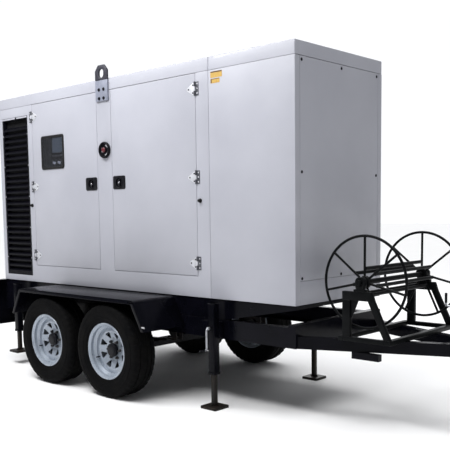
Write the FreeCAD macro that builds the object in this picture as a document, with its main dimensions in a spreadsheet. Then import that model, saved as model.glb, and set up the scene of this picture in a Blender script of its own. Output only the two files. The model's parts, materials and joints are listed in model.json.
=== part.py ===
"""Towable diesel generator: a weatherproof generating set on a tandem-axle trailer with an empty cable reel.

+X points to the tow eye, +Z is up and the floor is Z = 0. The origin is the middle of the footprint.
Lengths along X are measured from the canopy's front face, the datum that the set is built from.
"""
import FreeCAD
import Part
import math
import os
import Sketcher
from FreeCAD import Placement, Rotation, Vector

DIMENSIONS = {
    # canopy
    "canopy_front": 1125, "canopy_length": 3600, "canopy_half_width": 540, "canopy_bottom": 790,
    "canopy_top": 2530, "fascia_height": 95, "sheet_metal": 3, "roof_joint_back": 775, "panel_gap": 4,
    "corner_post": 40, "band_top": 946, "front_panel_half": 485, "front_panel_bottom": 951,
    # louvre, doors and the post between them, as distances behind the front face
    "louvre_rear": 3545, "louvre_front": 3110, "louvre_bottom": 845, "louvre_top": 2345,
    "louvre_border": 22, "louvre_depth": 38, "slat_pitch": 54, "slat_thick": 2.5,
    "slat_rise": 34,
    "rear_door_rear": 3035, "rear_door_front": 2070, "front_door_rear": 1885, "front_door_front": 905,
    "door_depth": 40, "window_rear": 2889, "window_front": 2545, "window_bottom": 1828,
    "window_top": 2130, "glass_thick": 6,
    # door hinges and latches
    "hinge_tall": 100, "hinge_low": 1044, "hinge_mid": 1680, "hinge_high": 2320, "pin_radius": 4,
    "knuckle_radius": 7, "leaf_thick": 3, "leaf_reach": 86, "frame_leaf": 26, "pin_clearance": 0.08,
    "latch_wide": 155, "latch_tall": 110, "latch_height": 1675, "latch_setback": 91,
    "latch_flange": 4, "latch_recess": 16, "latch_disc": 34, "latch_spindle": 8, "latch_cam": 112,
    # emergency stop
    "stop_back": 1962, "stop_height": 1948, "stop_radius": 68, "stop_button": 21, "stop_travel": 6,
    # lifting lugs
    "lug_back": 1977, "lug_wide": 157, "lug_bottom": 2350, "lug_top": 2641, "lug_thick": 16,
    "lug_eye": 34, "lug_eye_height": 2576, "lug_bolt_wide": 60, "lug_bolt_low": 2370,
    "lug_bolt_high": 2442,
    # base tank and trailer chassis
    "tank_half_width": 530, "tank_bottom": 640, "tank_wall": 4, "tank_ramp_back": 650,
    "tank_nose": 762, "filler_radius": 30, "rail_half_width": 540, "rail_bottom": 500,
    "rail_flange": 60, "rail_wall": 7, "cross_tall": 80, "cross_wide": 60,
    # drawbar, tow eye
    "apex_ahead": 1250, "member_wide": 60, "member_tall": 80, "member_wall": 5, "member_tip": 1080,
    "drawbar_angle": 22.5, "nose_length": 120, "eye_ahead": 1377, "eye_bore": 38, "eye_radius": 73,
    "eye_thick": 36,
    # running gear
    "rear_axle_back": 2317, "front_axle_back": 1522, "wheel_track_half": 850, "tyre_radius": 365,
    "rim_radius": 220, "axle_square": 60, "spindle_radius": 22, "spring_half": 345,
    "spring_track": 510, "spring_wide": 50,
    "fender_half_width": 965, "fender_top": 785, "fender_rear": 2690, "fender_front": 1165,
    "fender_slope": 115, "fender_low": 560, "fender_sheet": 4, "fender_lip": 30,
    # rear bumper
    "bumper_back": 3690, "bumper_half_width": 760, "bumper_bottom": 345, "bumper_top": 785,
    "lamp_proud": 10,
    # jacks
    "jack_outer": 60, "jack_inner": 36, "jack_wall": 4, "jack_low": 250, "jack_top": 770,
    "front_jack_back": 680, "rear_jack_back": 3255, "jack_track": 620, "rear_foot_height": 110,
    "foot_side": 150, "foot_thick": 20, "leg_top": 540, "crank_height": 590, "crank_arm": 155,
    "crank_rod": 7, "handle_rod": 9, "boss_radius": 22, "boss_reach": 14,
    "tongue_jack_ahead": 955, "tongue_outer": 76, "tongue_inner": 53, "tongue_low": 385,
    "tongue_foot_height": 285, "buffer_height": 1508, "buffer_offset": 35, "drum_radius": 150,
    # cable reel
    "reel_ahead": 430, "reel_height": 963, "reel_radius": 297, "reel_rod": 9, "reel_half": 380,
    "reel_hub": 42, "reel_drum": 88, "reel_bar": 12, "reel_shaft": 17, "stand_half": 410,
    "stand_thick": 30, "stand_top": 905, "stand_beam": 58, "reel_base_low": 580,
    "reel_base_high": 610, "reel_base_rear": 267, "reel_base_front": 650, "reel_base_half": 440,
    # engine and generator
    "shaft_height": 1300, "shaft_radius": 40, "fan_radius": 320, "engine_front": 400,
    "engine_rear": 1350, "alternator_rear": 2050, "alternator_radius": 270, "rotor_radius": 150,
}
SPOKES = 7
SIDES = {"right": -1, "left": 1}

DOC = FreeCAD.newDocument("towable_generator")
SHEET = DOC.addObject("Spreadsheet::Sheet", "Dims")
NODES = {}


class Length:
    """A size from the sheet, or worked out from sizes in it: its expression and its value."""

    def __init__(self, text, value):
        self.text = text
        self.value = float(value)

    def __add__(self, other):
        other = length(other)
        return Length(f"({self.text} + {other.text})", self.value + other.value)

    def __sub__(self, other):
        other = length(other)
        return Length(f"({self.text} - {other.text})", self.value - other.value)

    def __mul__(self, other):
        other = length(other)
        return Length(f"({self.text} * {other.text})", self.value * other.value)

    def __neg__(self):
        return Length(f"(0 - {self.text})", -self.value)

    __radd__ = __add__
    __rmul__ = __mul__

    def __rsub__(self, other):
        return length(other) - self


def length(size):
    """A Length for a plain number, or the Length itself."""
    return size if isinstance(size, Length) else Length(repr(float(size)), size)


class Sizes:
    """The sheet's cells, one attribute each."""


def fill_sheet():
    for row, (name, value) in enumerate(DIMENSIONS.items(), start=1):
        SHEET.set(f"A{row}", name)
        SHEET.set(f"B{row}", str(value))
        SHEET.setAlias(f"B{row}", name)
        setattr(Sizes, name, Length(f"Dims.{name}", value))
    DOC.recompute()


def bind(obj, prop, size):
    obj.setExpression(prop, length(size).text)


def place(obj, x, y, z, axis=Vector(0, 0, 1), degrees=0.0):
    """Puts an object at x, y, z, turned about axis."""
    obj.Placement = Placement(Vector(), Rotation(axis, degrees))
    for letter, size in zip("xyz", (x, y, z)):
        bind(obj, f"Placement.Base.{letter}", size)
    return obj


def block(label, x, y, z):
    """A box between two values along each axis."""
    box = DOC.addObject("Part::Box", label)
    for prop, (low, high) in zip(("Length", "Width", "Height"), (x, y, z)):
        bind(box, prop, high - length(low))
    return place(box, x[0], y[0], z[0])


TURNS = {"x": (Vector(0, 1, 0), 90), "y": (Vector(1, 0, 0), -90), "z": (Vector(0, 0, 1), 0)}


def rod(label, axis, radius, low, high, x=0, y=0, z=0):
    """A cylinder along one axis from low to high; the other two coordinates are its centre line."""
    cylinder = DOC.addObject("Part::Cylinder", label)
    bind(cylinder, "Radius", radius)
    bind(cylinder, "Height", high - length(low))
    start = {"x": x, "y": y, "z": z}
    start[axis] = low
    return place(cylinder, start["x"], start["y"], start["z"], *TURNS[axis])


def fuse(label, *parts):
    joined = DOC.addObject("Part::MultiFuse", label)
    joined.Shapes = list(parts)
    return joined


def cut(label, base, tool):
    result = DOC.addObject("Part::Cut", label)
    result.Base = base
    result.Tool = tool
    return result


def group(label, parts):
    """Separate solids that share one node."""
    compound = DOC.addObject("Part::Compound", label)
    compound.Links = list(parts)
    return compound


def keep(node, obj):
    """Registers an object as a sub-part: its Label names the part's file."""
    obj.Label = node
    NODES[node] = obj
    return obj


def body(label):
    return DOC.addObject("PartDesign::Body", label)


def sketch(owner, plane, offset=0):
    """An empty sketch parallel to one of the body's own origin planes."""
    drawing = owner.newObject("Sketcher::SketchObject", "Sketch")
    support = [f for f in owner.Origin.OriginFeatures if f.Role == plane + "_Plane"][0]
    drawing.AttachmentSupport = [(support, "")]
    drawing.MapMode = "FlatFace"
    drawing.AttachmentOffset = Placement(Vector(0, 0, length(offset).value), Rotation())
    bind(drawing, "AttachmentOffset.Base.z", offset)
    return drawing


def pin_point(drawing, curve, position, x, y):
    """Fixes a point of a curve at x, y."""
    for kind, size in (("DistanceX", length(x)), ("DistanceY", length(y))):
        index = drawing.addConstraint(Sketcher.Constraint(kind, curve, position, size.value))
        if "Dims" in size.text:
            drawing.setExpression(f"Constraints[{index}]", size.text)


def polygon(drawing, points):
    """A closed outline of straight edges."""
    points = [(length(x), length(y)) for x, y in points]
    first = drawing.GeometryCount
    for (x0, y0), (x1, y1) in zip(points, points[1:] + points[:1]):
        line = Part.LineSegment(Vector(x0.value, y0.value, 0), Vector(x1.value, y1.value, 0))
        drawing.addGeometry(line, False)
    for i in range(len(points)):
        following = first + (i + 1) % len(points)
        drawing.addConstraint(Sketcher.Constraint("Coincident", first + i, 2, following, 1))
    for i, (x, y) in enumerate(points):
        pin_point(drawing, first + i, 1, x, y)
    return drawing


def rectangle(drawing, x, y):
    return polygon(drawing, [(x[0], y[0]), (x[1], y[0]), (x[1], y[1]), (x[0], y[1])])


def circle(drawing, x, y, radius):
    radius = length(radius)
    centre = Vector(length(x).value, length(y).value, 0)
    curve = drawing.addGeometry(Part.Circle(centre, Vector(0, 0, 1), radius.value), False)
    index = drawing.addConstraint(Sketcher.Constraint("Radius", curve, radius.value))
    if "Dims" in radius.text:
        drawing.setExpression(f"Constraints[{index}]", radius.text)
    pin_point(drawing, curve, 3, x, y)
    return drawing


def pad(owner, drawing, depth, way=1):
    """Adds material along the sketch's normal (way 1), against it (-1) or both ways (0)."""
    feature = owner.newObject("PartDesign::Pad", "Pad")
    feature.Profile = drawing
    feature.Midplane = way == 0
    feature.Reversed = way < 0
    bind(feature, "Length", depth)
    return feature


def pocket(owner, drawing, depth, way=1):
    """Removes material the same ways, and checks that some was removed."""
    DOC.recompute()
    before = owner.Shape.Volume
    feature = owner.newObject("PartDesign::Pocket", "Pocket")
    feature.Profile = drawing
    feature.Midplane = way == 0
    feature.Reversed = way > 0
    bind(feature, "Length", depth)
    DOC.recompute()
    if owner.Shape.Volume > before - 1:
        raise RuntimeError(f"a pocket of {owner.Label} removes nothing")
    return feature


def revolve(owner, drawing, axis="V_Axis"):
    feature = owner.newObject("PartDesign::Revolution", "Revolution")
    feature.Profile = drawing
    feature.ReferenceAxis = (drawing, [axis])
    feature.Angle = 360
    return feature


def polar(owner, feature, drawing, count):
    """Repeats a feature round the normal of its sketch."""
    pattern = owner.newObject("PartDesign::PolarPattern", "PolarPattern")
    pattern.Originals = [feature]
    pattern.Axis = (drawing, ["N_Axis"])
    pattern.Angle = 360
    pattern.Occurrences = count
    owner.Tip = pattern
    return pattern


def ahead(distance):
    """X of a point ahead of the canopy's front face."""
    return Sizes.canopy_front + distance


def back(distance):
    """X of a point behind the canopy's front face."""
    return Sizes.canopy_front - distance


def across(side, low, high):
    """A pair of Y values, lowest first, for one side of the machine."""
    pair = (length(low) * side, length(high) * side)
    return pair if side > 0 else (pair[1], pair[0])


# ---------------------------------------------------------------- trailer

def chassis_rails():
    """Two C-channels, their webs outwards."""
    s = Sizes
    rails = []
    for name, side in SIDES.items():
        rail = body(f"rail_{name}")
        outer = s.rail_half_width * side
        inner = (s.rail_half_width - s.rail_flange) * side
        web = (s.rail_half_width - s.rail_wall) * side
        low = s.rail_bottom
        high = s.tank_bottom
        outline = [(outer, low), (outer, high), (inner, high), (inner, high - s.rail_wall),
                   (web, high - s.rail_wall), (web, low + s.rail_wall),
                   (inner, low + s.rail_wall), (inner, low)]
        profile = polygon(sketch(rail, "YZ", back(s.canopy_length)), outline)
        pad(rail, profile, s.canopy_length - s.cross_wide)
        rails.append(rail)
    return keep("chassis_rails", group("rails", rails))


def cross_members():
    """Beams between the rails, the front beam that carries the drawbar, and the coupling bracket."""
    s = Sizes
    inside = (-(s.rail_half_width - s.rail_flange), s.rail_half_width - s.rail_flange)
    beams = []
    for distance in (3480, 2700, 1920, 1100):
        start = back(distance)
        beams.append(block("beam", (start, start + s.cross_wide), inside,
                           (s.tank_bottom - s.cross_tall, s.tank_bottom)))
    beams.append(block("front_beam", (back(s.cross_wide), s.canopy_front),
                       (-s.rail_half_width, s.rail_half_width),
                       (s.rail_bottom, s.tank_bottom + 20)))
    beams.append(block("bracket", (ahead(330), ahead(530)), (-375, -335),
                       (s.rail_bottom - 45, s.rail_bottom)))
    return keep("cross_members", group("beams", beams))


def drawbar():
    """Two box-section members that meet at a nose block."""
    s = Sizes
    slope = math.tan(math.radians(DIMENSIONS["drawbar_angle"]))
    skew = 1 / math.cos(math.radians(DIMENSIONS["drawbar_angle"]))

    def outline(side, inset):
        """The member's plan, with its walls moved inwards by inset."""
        tip = s.member_tip - inset

        def edge(x, across_member):
            return ((s.apex_ahead - x) * slope - across_member * skew) * side

        start = length(-20) if inset else length(0)
        far = s.member_wide - inset
        return [(ahead(start), edge(start, length(inset))), (ahead(tip), edge(tip, length(inset))),
                (ahead(tip), edge(tip, far)), (ahead(start), edge(start, far))]

    members = []
    top = s.rail_bottom + s.member_tall
    for name, side in SIDES.items():
        member = body(f"member_{name}")
        pad(member, polygon(sketch(member, "XY", s.rail_bottom), outline(side, 0)), s.member_tall)
        hollow = polygon(sketch(member, "XY", top - s.member_wall), outline(side, s.member_wall))
        pocket(member, hollow, s.member_tall - 2 * s.member_wall, way=-1)
        members.append(member)
    nose = body("nose")
    rear_half = (s.apex_ahead - s.member_tip) * slope
    front_half = length(52)
    start = ahead(s.member_tip)
    outline = [(start, -rear_half), (start + s.nose_length, -front_half),
               (start + s.nose_length, front_half), (start, rear_half)]
    pad(nose, polygon(sketch(nose, "XY", s.rail_bottom), outline), s.member_tall)
    return keep("drawbar", group("drawbar_group", members + [nose]))


def tow_eye():
    """A lunette ring on a shank, bolted to the drawbar's nose by its flange."""
    s = Sizes
    eye = body("tow_eye")
    middle = s.rail_bottom + s.member_tall * 0.5
    flange_rear = ahead(s.member_tip + s.nose_length)
    flange = rectangle(sketch(eye, "YZ", flange_rear), (-50, 50), (middle - 55, middle + 55))
    pad(eye, flange, 16)
    shank = circle(sketch(eye, "YZ", flange_rear + 10), 0, middle, 26)
    pad(eye, shank, ahead(s.eye_ahead) - s.eye_bore - 10 - (flange_rear + 10))
    ring = circle(sketch(eye, "XY", middle), ahead(s.eye_ahead), 0, s.eye_radius)
    pad(eye, ring, s.eye_thick, way=0)
    bore = circle(sketch(eye, "XY", middle), ahead(s.eye_ahead), 0, s.eye_bore)
    pocket(eye, bore, s.eye_thick * 3, way=0)
    for y in (-34, 34):
        for z in (-38, 38):
            head = circle(sketch(eye, "YZ", flange_rear + 16), y, middle + z, 10)
            pad(eye, head, 8)
    return keep("tow_eye", eye)


def base_tank():
    """The skid that carries the set: a sheet-metal fuel tank with a ramp at the front."""
    s = Sizes
    tank = body("base_tank")

    def outline(inset):
        rear = back(s.canopy_length) + inset
        front = s.canopy_front - inset
        ramp = back(s.tank_ramp_back) - inset
        return [(rear, s.tank_bottom + inset), (ramp, s.tank_bottom + inset),
                (front, s.tank_nose + inset), (front, s.canopy_bottom - inset),
                (rear, s.canopy_bottom - inset)]

    pad(tank, polygon(sketch(tank, "XZ"), outline(length(0))), s.tank_half_width * 2, way=0)
    hollow = polygon(sketch(tank, "XZ"), outline(s.tank_wall))
    pocket(tank, hollow, s.tank_half_width * 2 - s.tank_wall * 2, way=0)
    filler = circle(sketch(tank, "XY", s.canopy_bottom), back(2500), 330, s.filler_radius)
    pocket(tank, filler, s.tank_wall * 2, way=-1)
    return keep("base_tank", tank)


def fenders():
    """A sheet-metal guard over each pair of wheels, with a folded outer lip."""
    s = Sizes

    def outline(depth):
        rear = back(s.fender_rear)
        front = back(s.fender_front)
        low = s.fender_low
        top = s.fender_top
        inner = depth * 0.9
        return [(rear - s.fender_slope, low), (rear, top), (front, top),
                (front + s.fender_slope, low), (front + s.fender_slope - inner, low),
                (front - inner * 0.6, top - depth), (rear + inner * 0.6, top - depth),
                (rear - s.fender_slope + inner, low)]

    guards = []
    for name, side in SIDES.items():
        guard = body(f"fender_{name}")
        inside = -s.canopy_half_width * side
        outside = -s.fender_half_width * side
        shell = polygon(sketch(guard, "XZ", inside), outline(s.fender_sheet))
        pad(guard, shell, s.fender_half_width - s.canopy_half_width, way=-side)
        lip = polygon(sketch(guard, "XZ", outside), outline(s.fender_lip))
        pad(guard, lip, s.fender_sheet, way=side)
        guards.append(guard)
    return keep("fenders", group("guards", guards))


def rear_bumper():
    """A pressed steel panel across the back of the trailer, open towards the chassis."""
    s = Sizes
    x = (back(s.bumper_back), back(s.canopy_length))
    y = (-s.bumper_half_width, s.bumper_half_width)
    z = (s.bumper_bottom, s.bumper_top)
    wall = 4
    skin = block("bumper_skin", x, y, z)
    hollow = block("bumper_hollow", (x[0] + wall, x[1] + wall), (y[0] + wall, y[1] - wall),
                   (z[0] + wall, z[1] - wall))
    keep("rear_bumper", cut("bumper", skin, hollow))
    lamps = [block("lamp", (x[0] - s.lamp_proud, x[0]), across(side, 560, 720), (520, 620))
             for side in SIDES.values()]
    return keep("rear_lamps", group("lamps", lamps))


def axle_positions():
    s = Sizes
    return {"rear": back(s.rear_axle_back), "front": back(s.front_axle_back)}


def axle_beams():
    """A square beam under the springs with a turned spindle at each end."""
    s = Sizes
    half = s.axle_square * 0.5
    beams = []
    for name, x in axle_positions().items():
        beam = block("beam", (x - half, x + half), (-700, 700),
                     (s.tyre_radius - half, s.tyre_radius + half))
        spindle = rod("spindle", "y", s.spindle_radius, -s.wheel_track_half - 30,
                      s.wheel_track_half + 30, x=x, z=s.tyre_radius)
        beams.append(fuse(f"axle_{name}", beam, spindle))
    return keep("axle_beams", group("axles", beams))


def leaf_springs():
    """Four packs of three leaves, with their hangers and the equaliser between the axles."""
    s = Sizes
    pieces = []
    half = DIMENSIONS["spring_half"]
    wide = DIMENSIONS["spring_wide"]
    seat = DIMENSIONS["tyre_radius"] + DIMENSIONS["axle_square"] / 2
    thick = 9
    rise = 34
    for side in SIDES.values():
        y = side * DIMENSIONS["spring_track"] - wide / 2
        for x in axle_positions().values():
            for leaf in range(3):
                reach = half * (1 - 0.27 * (2 - leaf))
                lift = rise * (reach / half) ** 2
                low = seat + leaf * thick
                bottom = Part.Arc(Vector(x.value - reach, y, low + lift), Vector(x.value, y, low),
                                  Vector(x.value + reach, y, low + lift))
                top = Part.Arc(Vector(x.value - reach, y, low + lift + thick),
                               Vector(x.value, y, low + thick),
                               Vector(x.value + reach, y, low + lift + thick))
                ends = [Part.LineSegment(bottom.StartPoint, top.StartPoint),
                        Part.LineSegment(bottom.EndPoint, top.EndPoint)]
                edges = [bottom.toShape(), ends[1].toShape(), top.toShape(), ends[0].toShape()]
                face = Part.Face(Part.Wire(Part.__sortEdges__(edges)))
                plate = DOC.addObject("Part::Feature", "leaf")
                plate.Shape = face.extrude(Vector(0, wide, 0))
                pieces.append(plate)
    for side in SIDES.values():
        for distance in (s.rear_axle_back + s.spring_half, s.front_axle_back - s.spring_half):
            for track in (s.spring_track - 36, s.spring_track + 28):
                pieces.append(block("hanger", (back(distance) - 28, back(distance) + 28),
                                    across(side, track, track + 8), (435, s.rail_bottom)))
        middle = back((s.rear_axle_back + s.front_axle_back) * 0.5)
        pieces.append(block("equaliser", (middle - 42, middle + 42),
                            across(side, s.spring_track - 25, s.spring_track + 25),
                            (430, s.rail_bottom)))
    return keep("leaf_springs", group("springs", pieces))


# ---------------------------------------------------------------- wheels

def tyre_outline():
    """Half section of the tyre: radius and distance from its middle plane, bead to bead."""
    s = Sizes
    r = s.tyre_radius
    half = [(r - 159, 66), (r - 159, 81), (r - 143.5, 87), (r - 141, 94), (r - 120, 105),
            (r - 75, 111), (r - 35, 108), (r - 15, 101), (r - 4, 91), (r - 0.5, 74)]
    grooves = []
    for middle in (54, 18):
        grooves += [(r - 0.2, middle + 5), (r - 9, middle + 4), (r - 9, middle - 4),
                    (r - 0.2, middle - 5)]
    inner = [(r - 16, 70), (r - 22, 84), (r - 40, 95), (r - 75, 99), (r - 118, 92), (r - 138, 78)]
    upper = half + grooves
    outer = upper + [(x, -y) for x, y in reversed(upper)]
    lining = [(x, -y) for x, y in reversed(inner)] + inner
    return outer, lining


def rim_section():
    """The rim's barrel, as one closed outline of radius and distance from the middle plane."""
    r = Sizes.rim_radius
    outer = [(r, -95), (r, -88), (r - 15, -82), (r - 17, -58), (r - 36, -40), (r - 36, 30),
             (r - 17, 55), (r - 15, 82), (r, 88), (r, 95)]
    inner = [(r - 8, 95), (r - 21, 84), (r - 22, 57), (r - 41, 32), (r - 41, -42),
             (r - 22, -60), (r - 21, -84), (r - 8, -95)]
    return outer + inner


def disc_section():
    """The wheel disc: a bolting face on the middle plane, and a cone out to the barrel."""
    outer = [(180, -34), (150, -34), (140, -30), (96, -12), (86, -6), (46, -6)]
    return outer + [(46, 0), (84, 0), (95, -5), (138, -23), (150, -27), (180, -27)]


def wheel(name, side, x):
    """Tyre, and rim with hub, brake drum and nuts; both are drawn for the right-hand side."""
    s = Sizes
    tyre = body(f"tyre_{name}")
    outer, lining = tyre_outline()
    revolve(tyre, polygon(sketch(tyre, "XY"), outer + lining))

    rim = body(f"rim_{name}")
    revolve(rim, polygon(sketch(rim, "XY"), rim_section()))
    revolve(rim, polygon(sketch(rim, "XY"), disc_section()))
    window = polygon(sketch(rim, "XZ", 0), [(87, 0), (141, 31), (141, -31)])
    polar(rim, pocket(rim, window, 120, way=0), window, 8)
    DOC.recompute()

    hub = body(f"hub_{name}")
    bore = s.spindle_radius + 0.05
    drum = s.drum_radius
    section = [(bore, 60), (46, 60), (46, 24), (drum - 10, 24), (drum - 10, 75), (drum, 75),
               (drum, 12), (84, 12), (84, 0), (45.5, 0), (45.5, -16), (53, -16), (53, -38),
               (44, -50), (34, -50), (34, -44), (bore, -44)]
    revolve(hub, polygon(sketch(hub, "XY"), section))

    corners = [(69.85 + 11 * math.cos(math.radians(60 * k)), 11 * math.sin(math.radians(60 * k)))
               for k in range(6)]
    nuts = []
    for turn in range(6):
        nut = body(f"nut_{name}")
        pad(nut, polygon(sketch(nut, "XZ", 6), corners), 18)
        nut.Placement = Placement(Vector(), Rotation(Vector(0, 1, 0), 60 * turn + 30))
        nuts.append(nut)

    facing = 0 if side < 0 else 180
    place(tyre, x, s.wheel_track_half * side, s.tyre_radius, degrees=facing)
    keep(f"tyre_{name}", tyre)
    rim_group = group(f"rim_group_{name}", [rim, hub] + nuts)
    place(rim_group, x, s.wheel_track_half * side, s.tyre_radius, degrees=facing)
    keep(f"wheel_rim_{name}", rim_group)


# ---------------------------------------------------------------- jacks

def jack_housing(label, x, y, outer, leg, low, top, extras):
    """A square tube with a guide collar below, closed on top, fused with its own extras."""
    s = Sizes
    half = outer * 0.5
    inner = half - s.jack_wall
    slide = leg * 0.5 + 0.4
    tube = block("tube", (x - half, x + half), (y - half, y + half), (low, top))
    hollow = block("hollow", (x - inner, x + inner), (y - inner, y + inner),
                   (low + 20, top - s.jack_wall))
    guide = block("guide", (x - slide, x + slide), (y - slide, y + slide), (low - 20, low + 30))
    collar = block("collar", (x - half - 4, x + half + 4), (y - half - 4, y + half + 4),
                   (low, low + 16))
    return cut(label, fuse("blank", tube, collar, *extras), fuse("inside", hollow, guide))


def jack_leg(node, x, y, side, foot_low, leg_top):
    """A square tube leg with a foot plate."""
    s = Sizes
    half = side * 0.5
    bore = half - s.jack_wall
    foot_half = s.foot_side * 0.5
    outer = block("leg", (x - half, x + half), (y - half, y + half), (foot_low + 8, leg_top))
    hollow = block("bore", (x - bore, x + bore), (y - bore, y + bore),
                   (foot_low + s.foot_thick, leg_top + 10))
    foot = block("foot", (x - foot_half, x + foot_half), (y - foot_half, y + foot_half),
                 (foot_low, foot_low + s.foot_thick))
    return keep(node, fuse("jack_leg", cut("square_tube", outer, hollow), foot))


def side_crank(node, x, y, side):
    """A cranked handle: stub shaft outwards, arm hanging down, grip outwards."""
    s = Sizes
    thick = s.handle_rod
    start = s.jack_outer * 0.5 + s.boss_reach + 0.5 + y * side
    elbow = start + 30
    low = s.crank_height - s.crank_arm
    shaft = rod("shaft", "y", thick, *across(side, start, elbow + thick), x=x, z=s.crank_height)
    arm = rod("arm", "z", s.crank_rod, low - s.crank_rod, s.crank_height, x=x, y=elbow * side)
    grip = rod("grip", "y", thick, *across(side, elbow - thick, elbow + 75), x=x, z=low)
    return keep(node, fuse("crank", shaft, arm, grip))


def top_crank(node, x, top):
    """The tongue jack's handle: stub shaft upwards, arm level, grip upwards."""
    s = Sizes
    thick = s.handle_rod
    reach = x - s.crank_arm
    shaft = rod("shaft", "z", thick, top + 0.5, top + 39, x=x)
    arm = rod("arm", "x", s.crank_rod, reach - s.crank_rod, x, z=top + 30)
    grip = rod("grip", "z", thick, top + 21, top + 115, x=reach)
    return keep(node, fuse("crank", shaft, arm, grip))


def tongue_jack():
    """The jack between the drawbar's members, with a cross plate and a locking plunger."""
    s = Sizes
    x = ahead(s.tongue_jack_ahead)
    half = s.tongue_outer * 0.5
    rest = s.rail_bottom + s.member_tall
    plate = block("plate", (x - 75, x + 75), (-110, 110), (rest, rest + 12))
    plunger = rod("plunger", "x", 8, x - half - 70, x - half + 3, z=s.tongue_low + 32)
    housing = jack_housing("housing_tongue", x, length(0), s.tongue_outer, s.tongue_inner, s.tongue_low,
                           s.jack_top, [plate, plunger])
    jack_leg("jack_leg_tongue", x, length(0), s.tongue_inner, s.tongue_foot_height,
             s.jack_top - 15)
    top_crank("jack_crank_tongue", x, s.jack_top)
    return housing


def jacks():
    """Side-wind jacks at the front, drop legs at the rear and one jack on the drawbar."""
    s = Sizes
    half = s.jack_outer * 0.5
    housings = [tongue_jack()]
    for name, side in SIDES.items():
        y = s.jack_track * side
        boss = rod("boss", "y", s.boss_radius,
                   *across(side, s.jack_track + half - 3, s.jack_track + half + s.boss_reach),
                   x=back(s.front_jack_back), z=s.crank_height)
        places = (("front", s.front_jack_back, s.jack_low, length(0), [boss]),
                  ("rear", s.rear_jack_back, s.jack_low + 60, s.rear_foot_height, []))
        for end, distance, low, foot, extras in places:
            x = back(distance)
            plate = block("plate", (x - half - 120, x + half),
                          across(side, s.rail_half_width, s.jack_track - half + 3),
                          (s.rail_bottom + 10, s.tank_bottom - 10))
            housings.append(jack_housing(f"housing_{end}_{name}", x, y, s.jack_outer, s.jack_inner,
                                         low, s.jack_top, extras + [plate]))
            jack_leg(f"jack_leg_{end}_{name}", x, y, s.jack_inner, foot, s.leg_top)
        side_crank(f"jack_crank_{name}", back(s.front_jack_back), y, side)
    return keep("jack_housings", group("housings", housings))


# ---------------------------------------------------------------- cable reel

def reel():
    """An empty drum: two spoked rings, seven longitudinal bars and a through shaft."""
    s = Sizes
    x = ahead(s.reel_ahead)
    flanges = []
    for name, side in SIDES.items():
        y = s.reel_half * side
        ring = DOC.addObject("Part::Torus", "ring")
        bind(ring, "Radius1", s.reel_radius)
        bind(ring, "Radius2", s.reel_rod)
        place(ring, x, y, s.reel_height, *TURNS["y"])
        hub = rod("hub", "y", s.reel_hub, y - 15, y + 15, x=x, z=s.reel_height)
        spokes = []
        for k in range(SPOKES):
            angle = 90 + 360 / SPOKES * k
            spoke = DOC.addObject("Part::Cylinder", "spoke")
            bind(spoke, "Radius", s.reel_rod - 1)
            bind(spoke, "Height", s.reel_radius)
            spokes.append(place(spoke, x, y, s.reel_height, Vector(0, 1, 0), 90 - angle))
        blank = fuse("flange_blank", ring, hub, *spokes)
        bore = rod("bore", "y", s.reel_shaft, y - 40, y + 40, x=x, z=s.reel_height)
        flange = cut(f"flange_{name}", blank, bore)
        flanges.append(flange)
    keep("reel_flanges", group("flanges", flanges))

    bars = [rod("shaft", "y", s.reel_shaft, -s.stand_half - 50, s.stand_half + 50, x=x,
                z=s.reel_height)]
    for k in range(SPOKES):
        angle = math.radians(90 + 360 / SPOKES * k)
        bars.append(rod("bar", "y", s.reel_bar, -s.reel_half + s.reel_rod, s.reel_half - s.reel_rod,
                        x=x + s.reel_drum * math.cos(angle),
                        z=s.reel_height + s.reel_drum * math.sin(angle)))
    return keep("reel_drum", group("drum", bars))


def reel_stand():
    """A rectangular base on the drawbar and a post, beam and raking leg on each side."""
    s = Sizes
    low = s.reel_base_low
    high = s.reel_base_high
    rear = ahead(s.reel_base_rear)
    front = ahead(s.reel_base_front)
    wide = 40
    pieces = [block("base_rear", (rear, rear + wide), (-s.reel_base_half, s.reel_base_half),
                    (low, high)),
              block("base_front", (front - wide, front), (-s.reel_base_half, s.reel_base_half),
                    (low, high))]
    for name, side in SIDES.items():
        y = across(side, s.stand_half, s.stand_half + s.stand_thick)
        pieces.append(block("base_side", (rear + wide, front - wide), y, (low, high)))
        pieces.append(block("post", (ahead(298), ahead(357)), y, (high, s.stand_top - s.stand_beam)))
        pieces.append(block("beam", (ahead(298), ahead(512)), y,
                            (s.stand_top - s.stand_beam, s.stand_top)))
        leg = body(f"leg_{name}")
        beam_low = s.stand_top - s.stand_beam
        outline = [(ahead(602), high), (ahead(648), high), (ahead(532), beam_low + 2),
                   (ahead(513), s.stand_top), (ahead(513), beam_low), (ahead(488), beam_low)]
        pad(leg, polygon(sketch(leg, "XZ", -y[0]), outline), s.stand_thick, way=-1)
        pieces.append(leg)
    gusset = body("gusset")
    corner = s.stand_top - s.stand_beam
    outline = [(ahead(357), corner), (ahead(414), corner), (ahead(357), corner - 130)]
    pad(gusset, polygon(sketch(gusset, "XZ", s.stand_half + 12), outline), 6)
    pieces.append(gusset)
    keep("reel_stand", group("stand", pieces))

    blocks = []
    for name, side in SIDES.items():
        y = across(side, s.stand_half - 2, s.stand_half + s.stand_thick + 2)
        x = ahead(s.reel_ahead)
        housing = block("bearing", (x - 45, x + 45), y, (s.stand_top, s.reel_height + 36))
        bore = rod("bore", "y", s.reel_shaft + 0.06, y[0] - 5, y[1] + 5, x=x, z=s.reel_height)
        blocks.append(cut(f"bearing_{name}", housing, bore))
    return keep("bearing_blocks", group("bearings", blocks))


# ---------------------------------------------------------------- canopy

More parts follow.
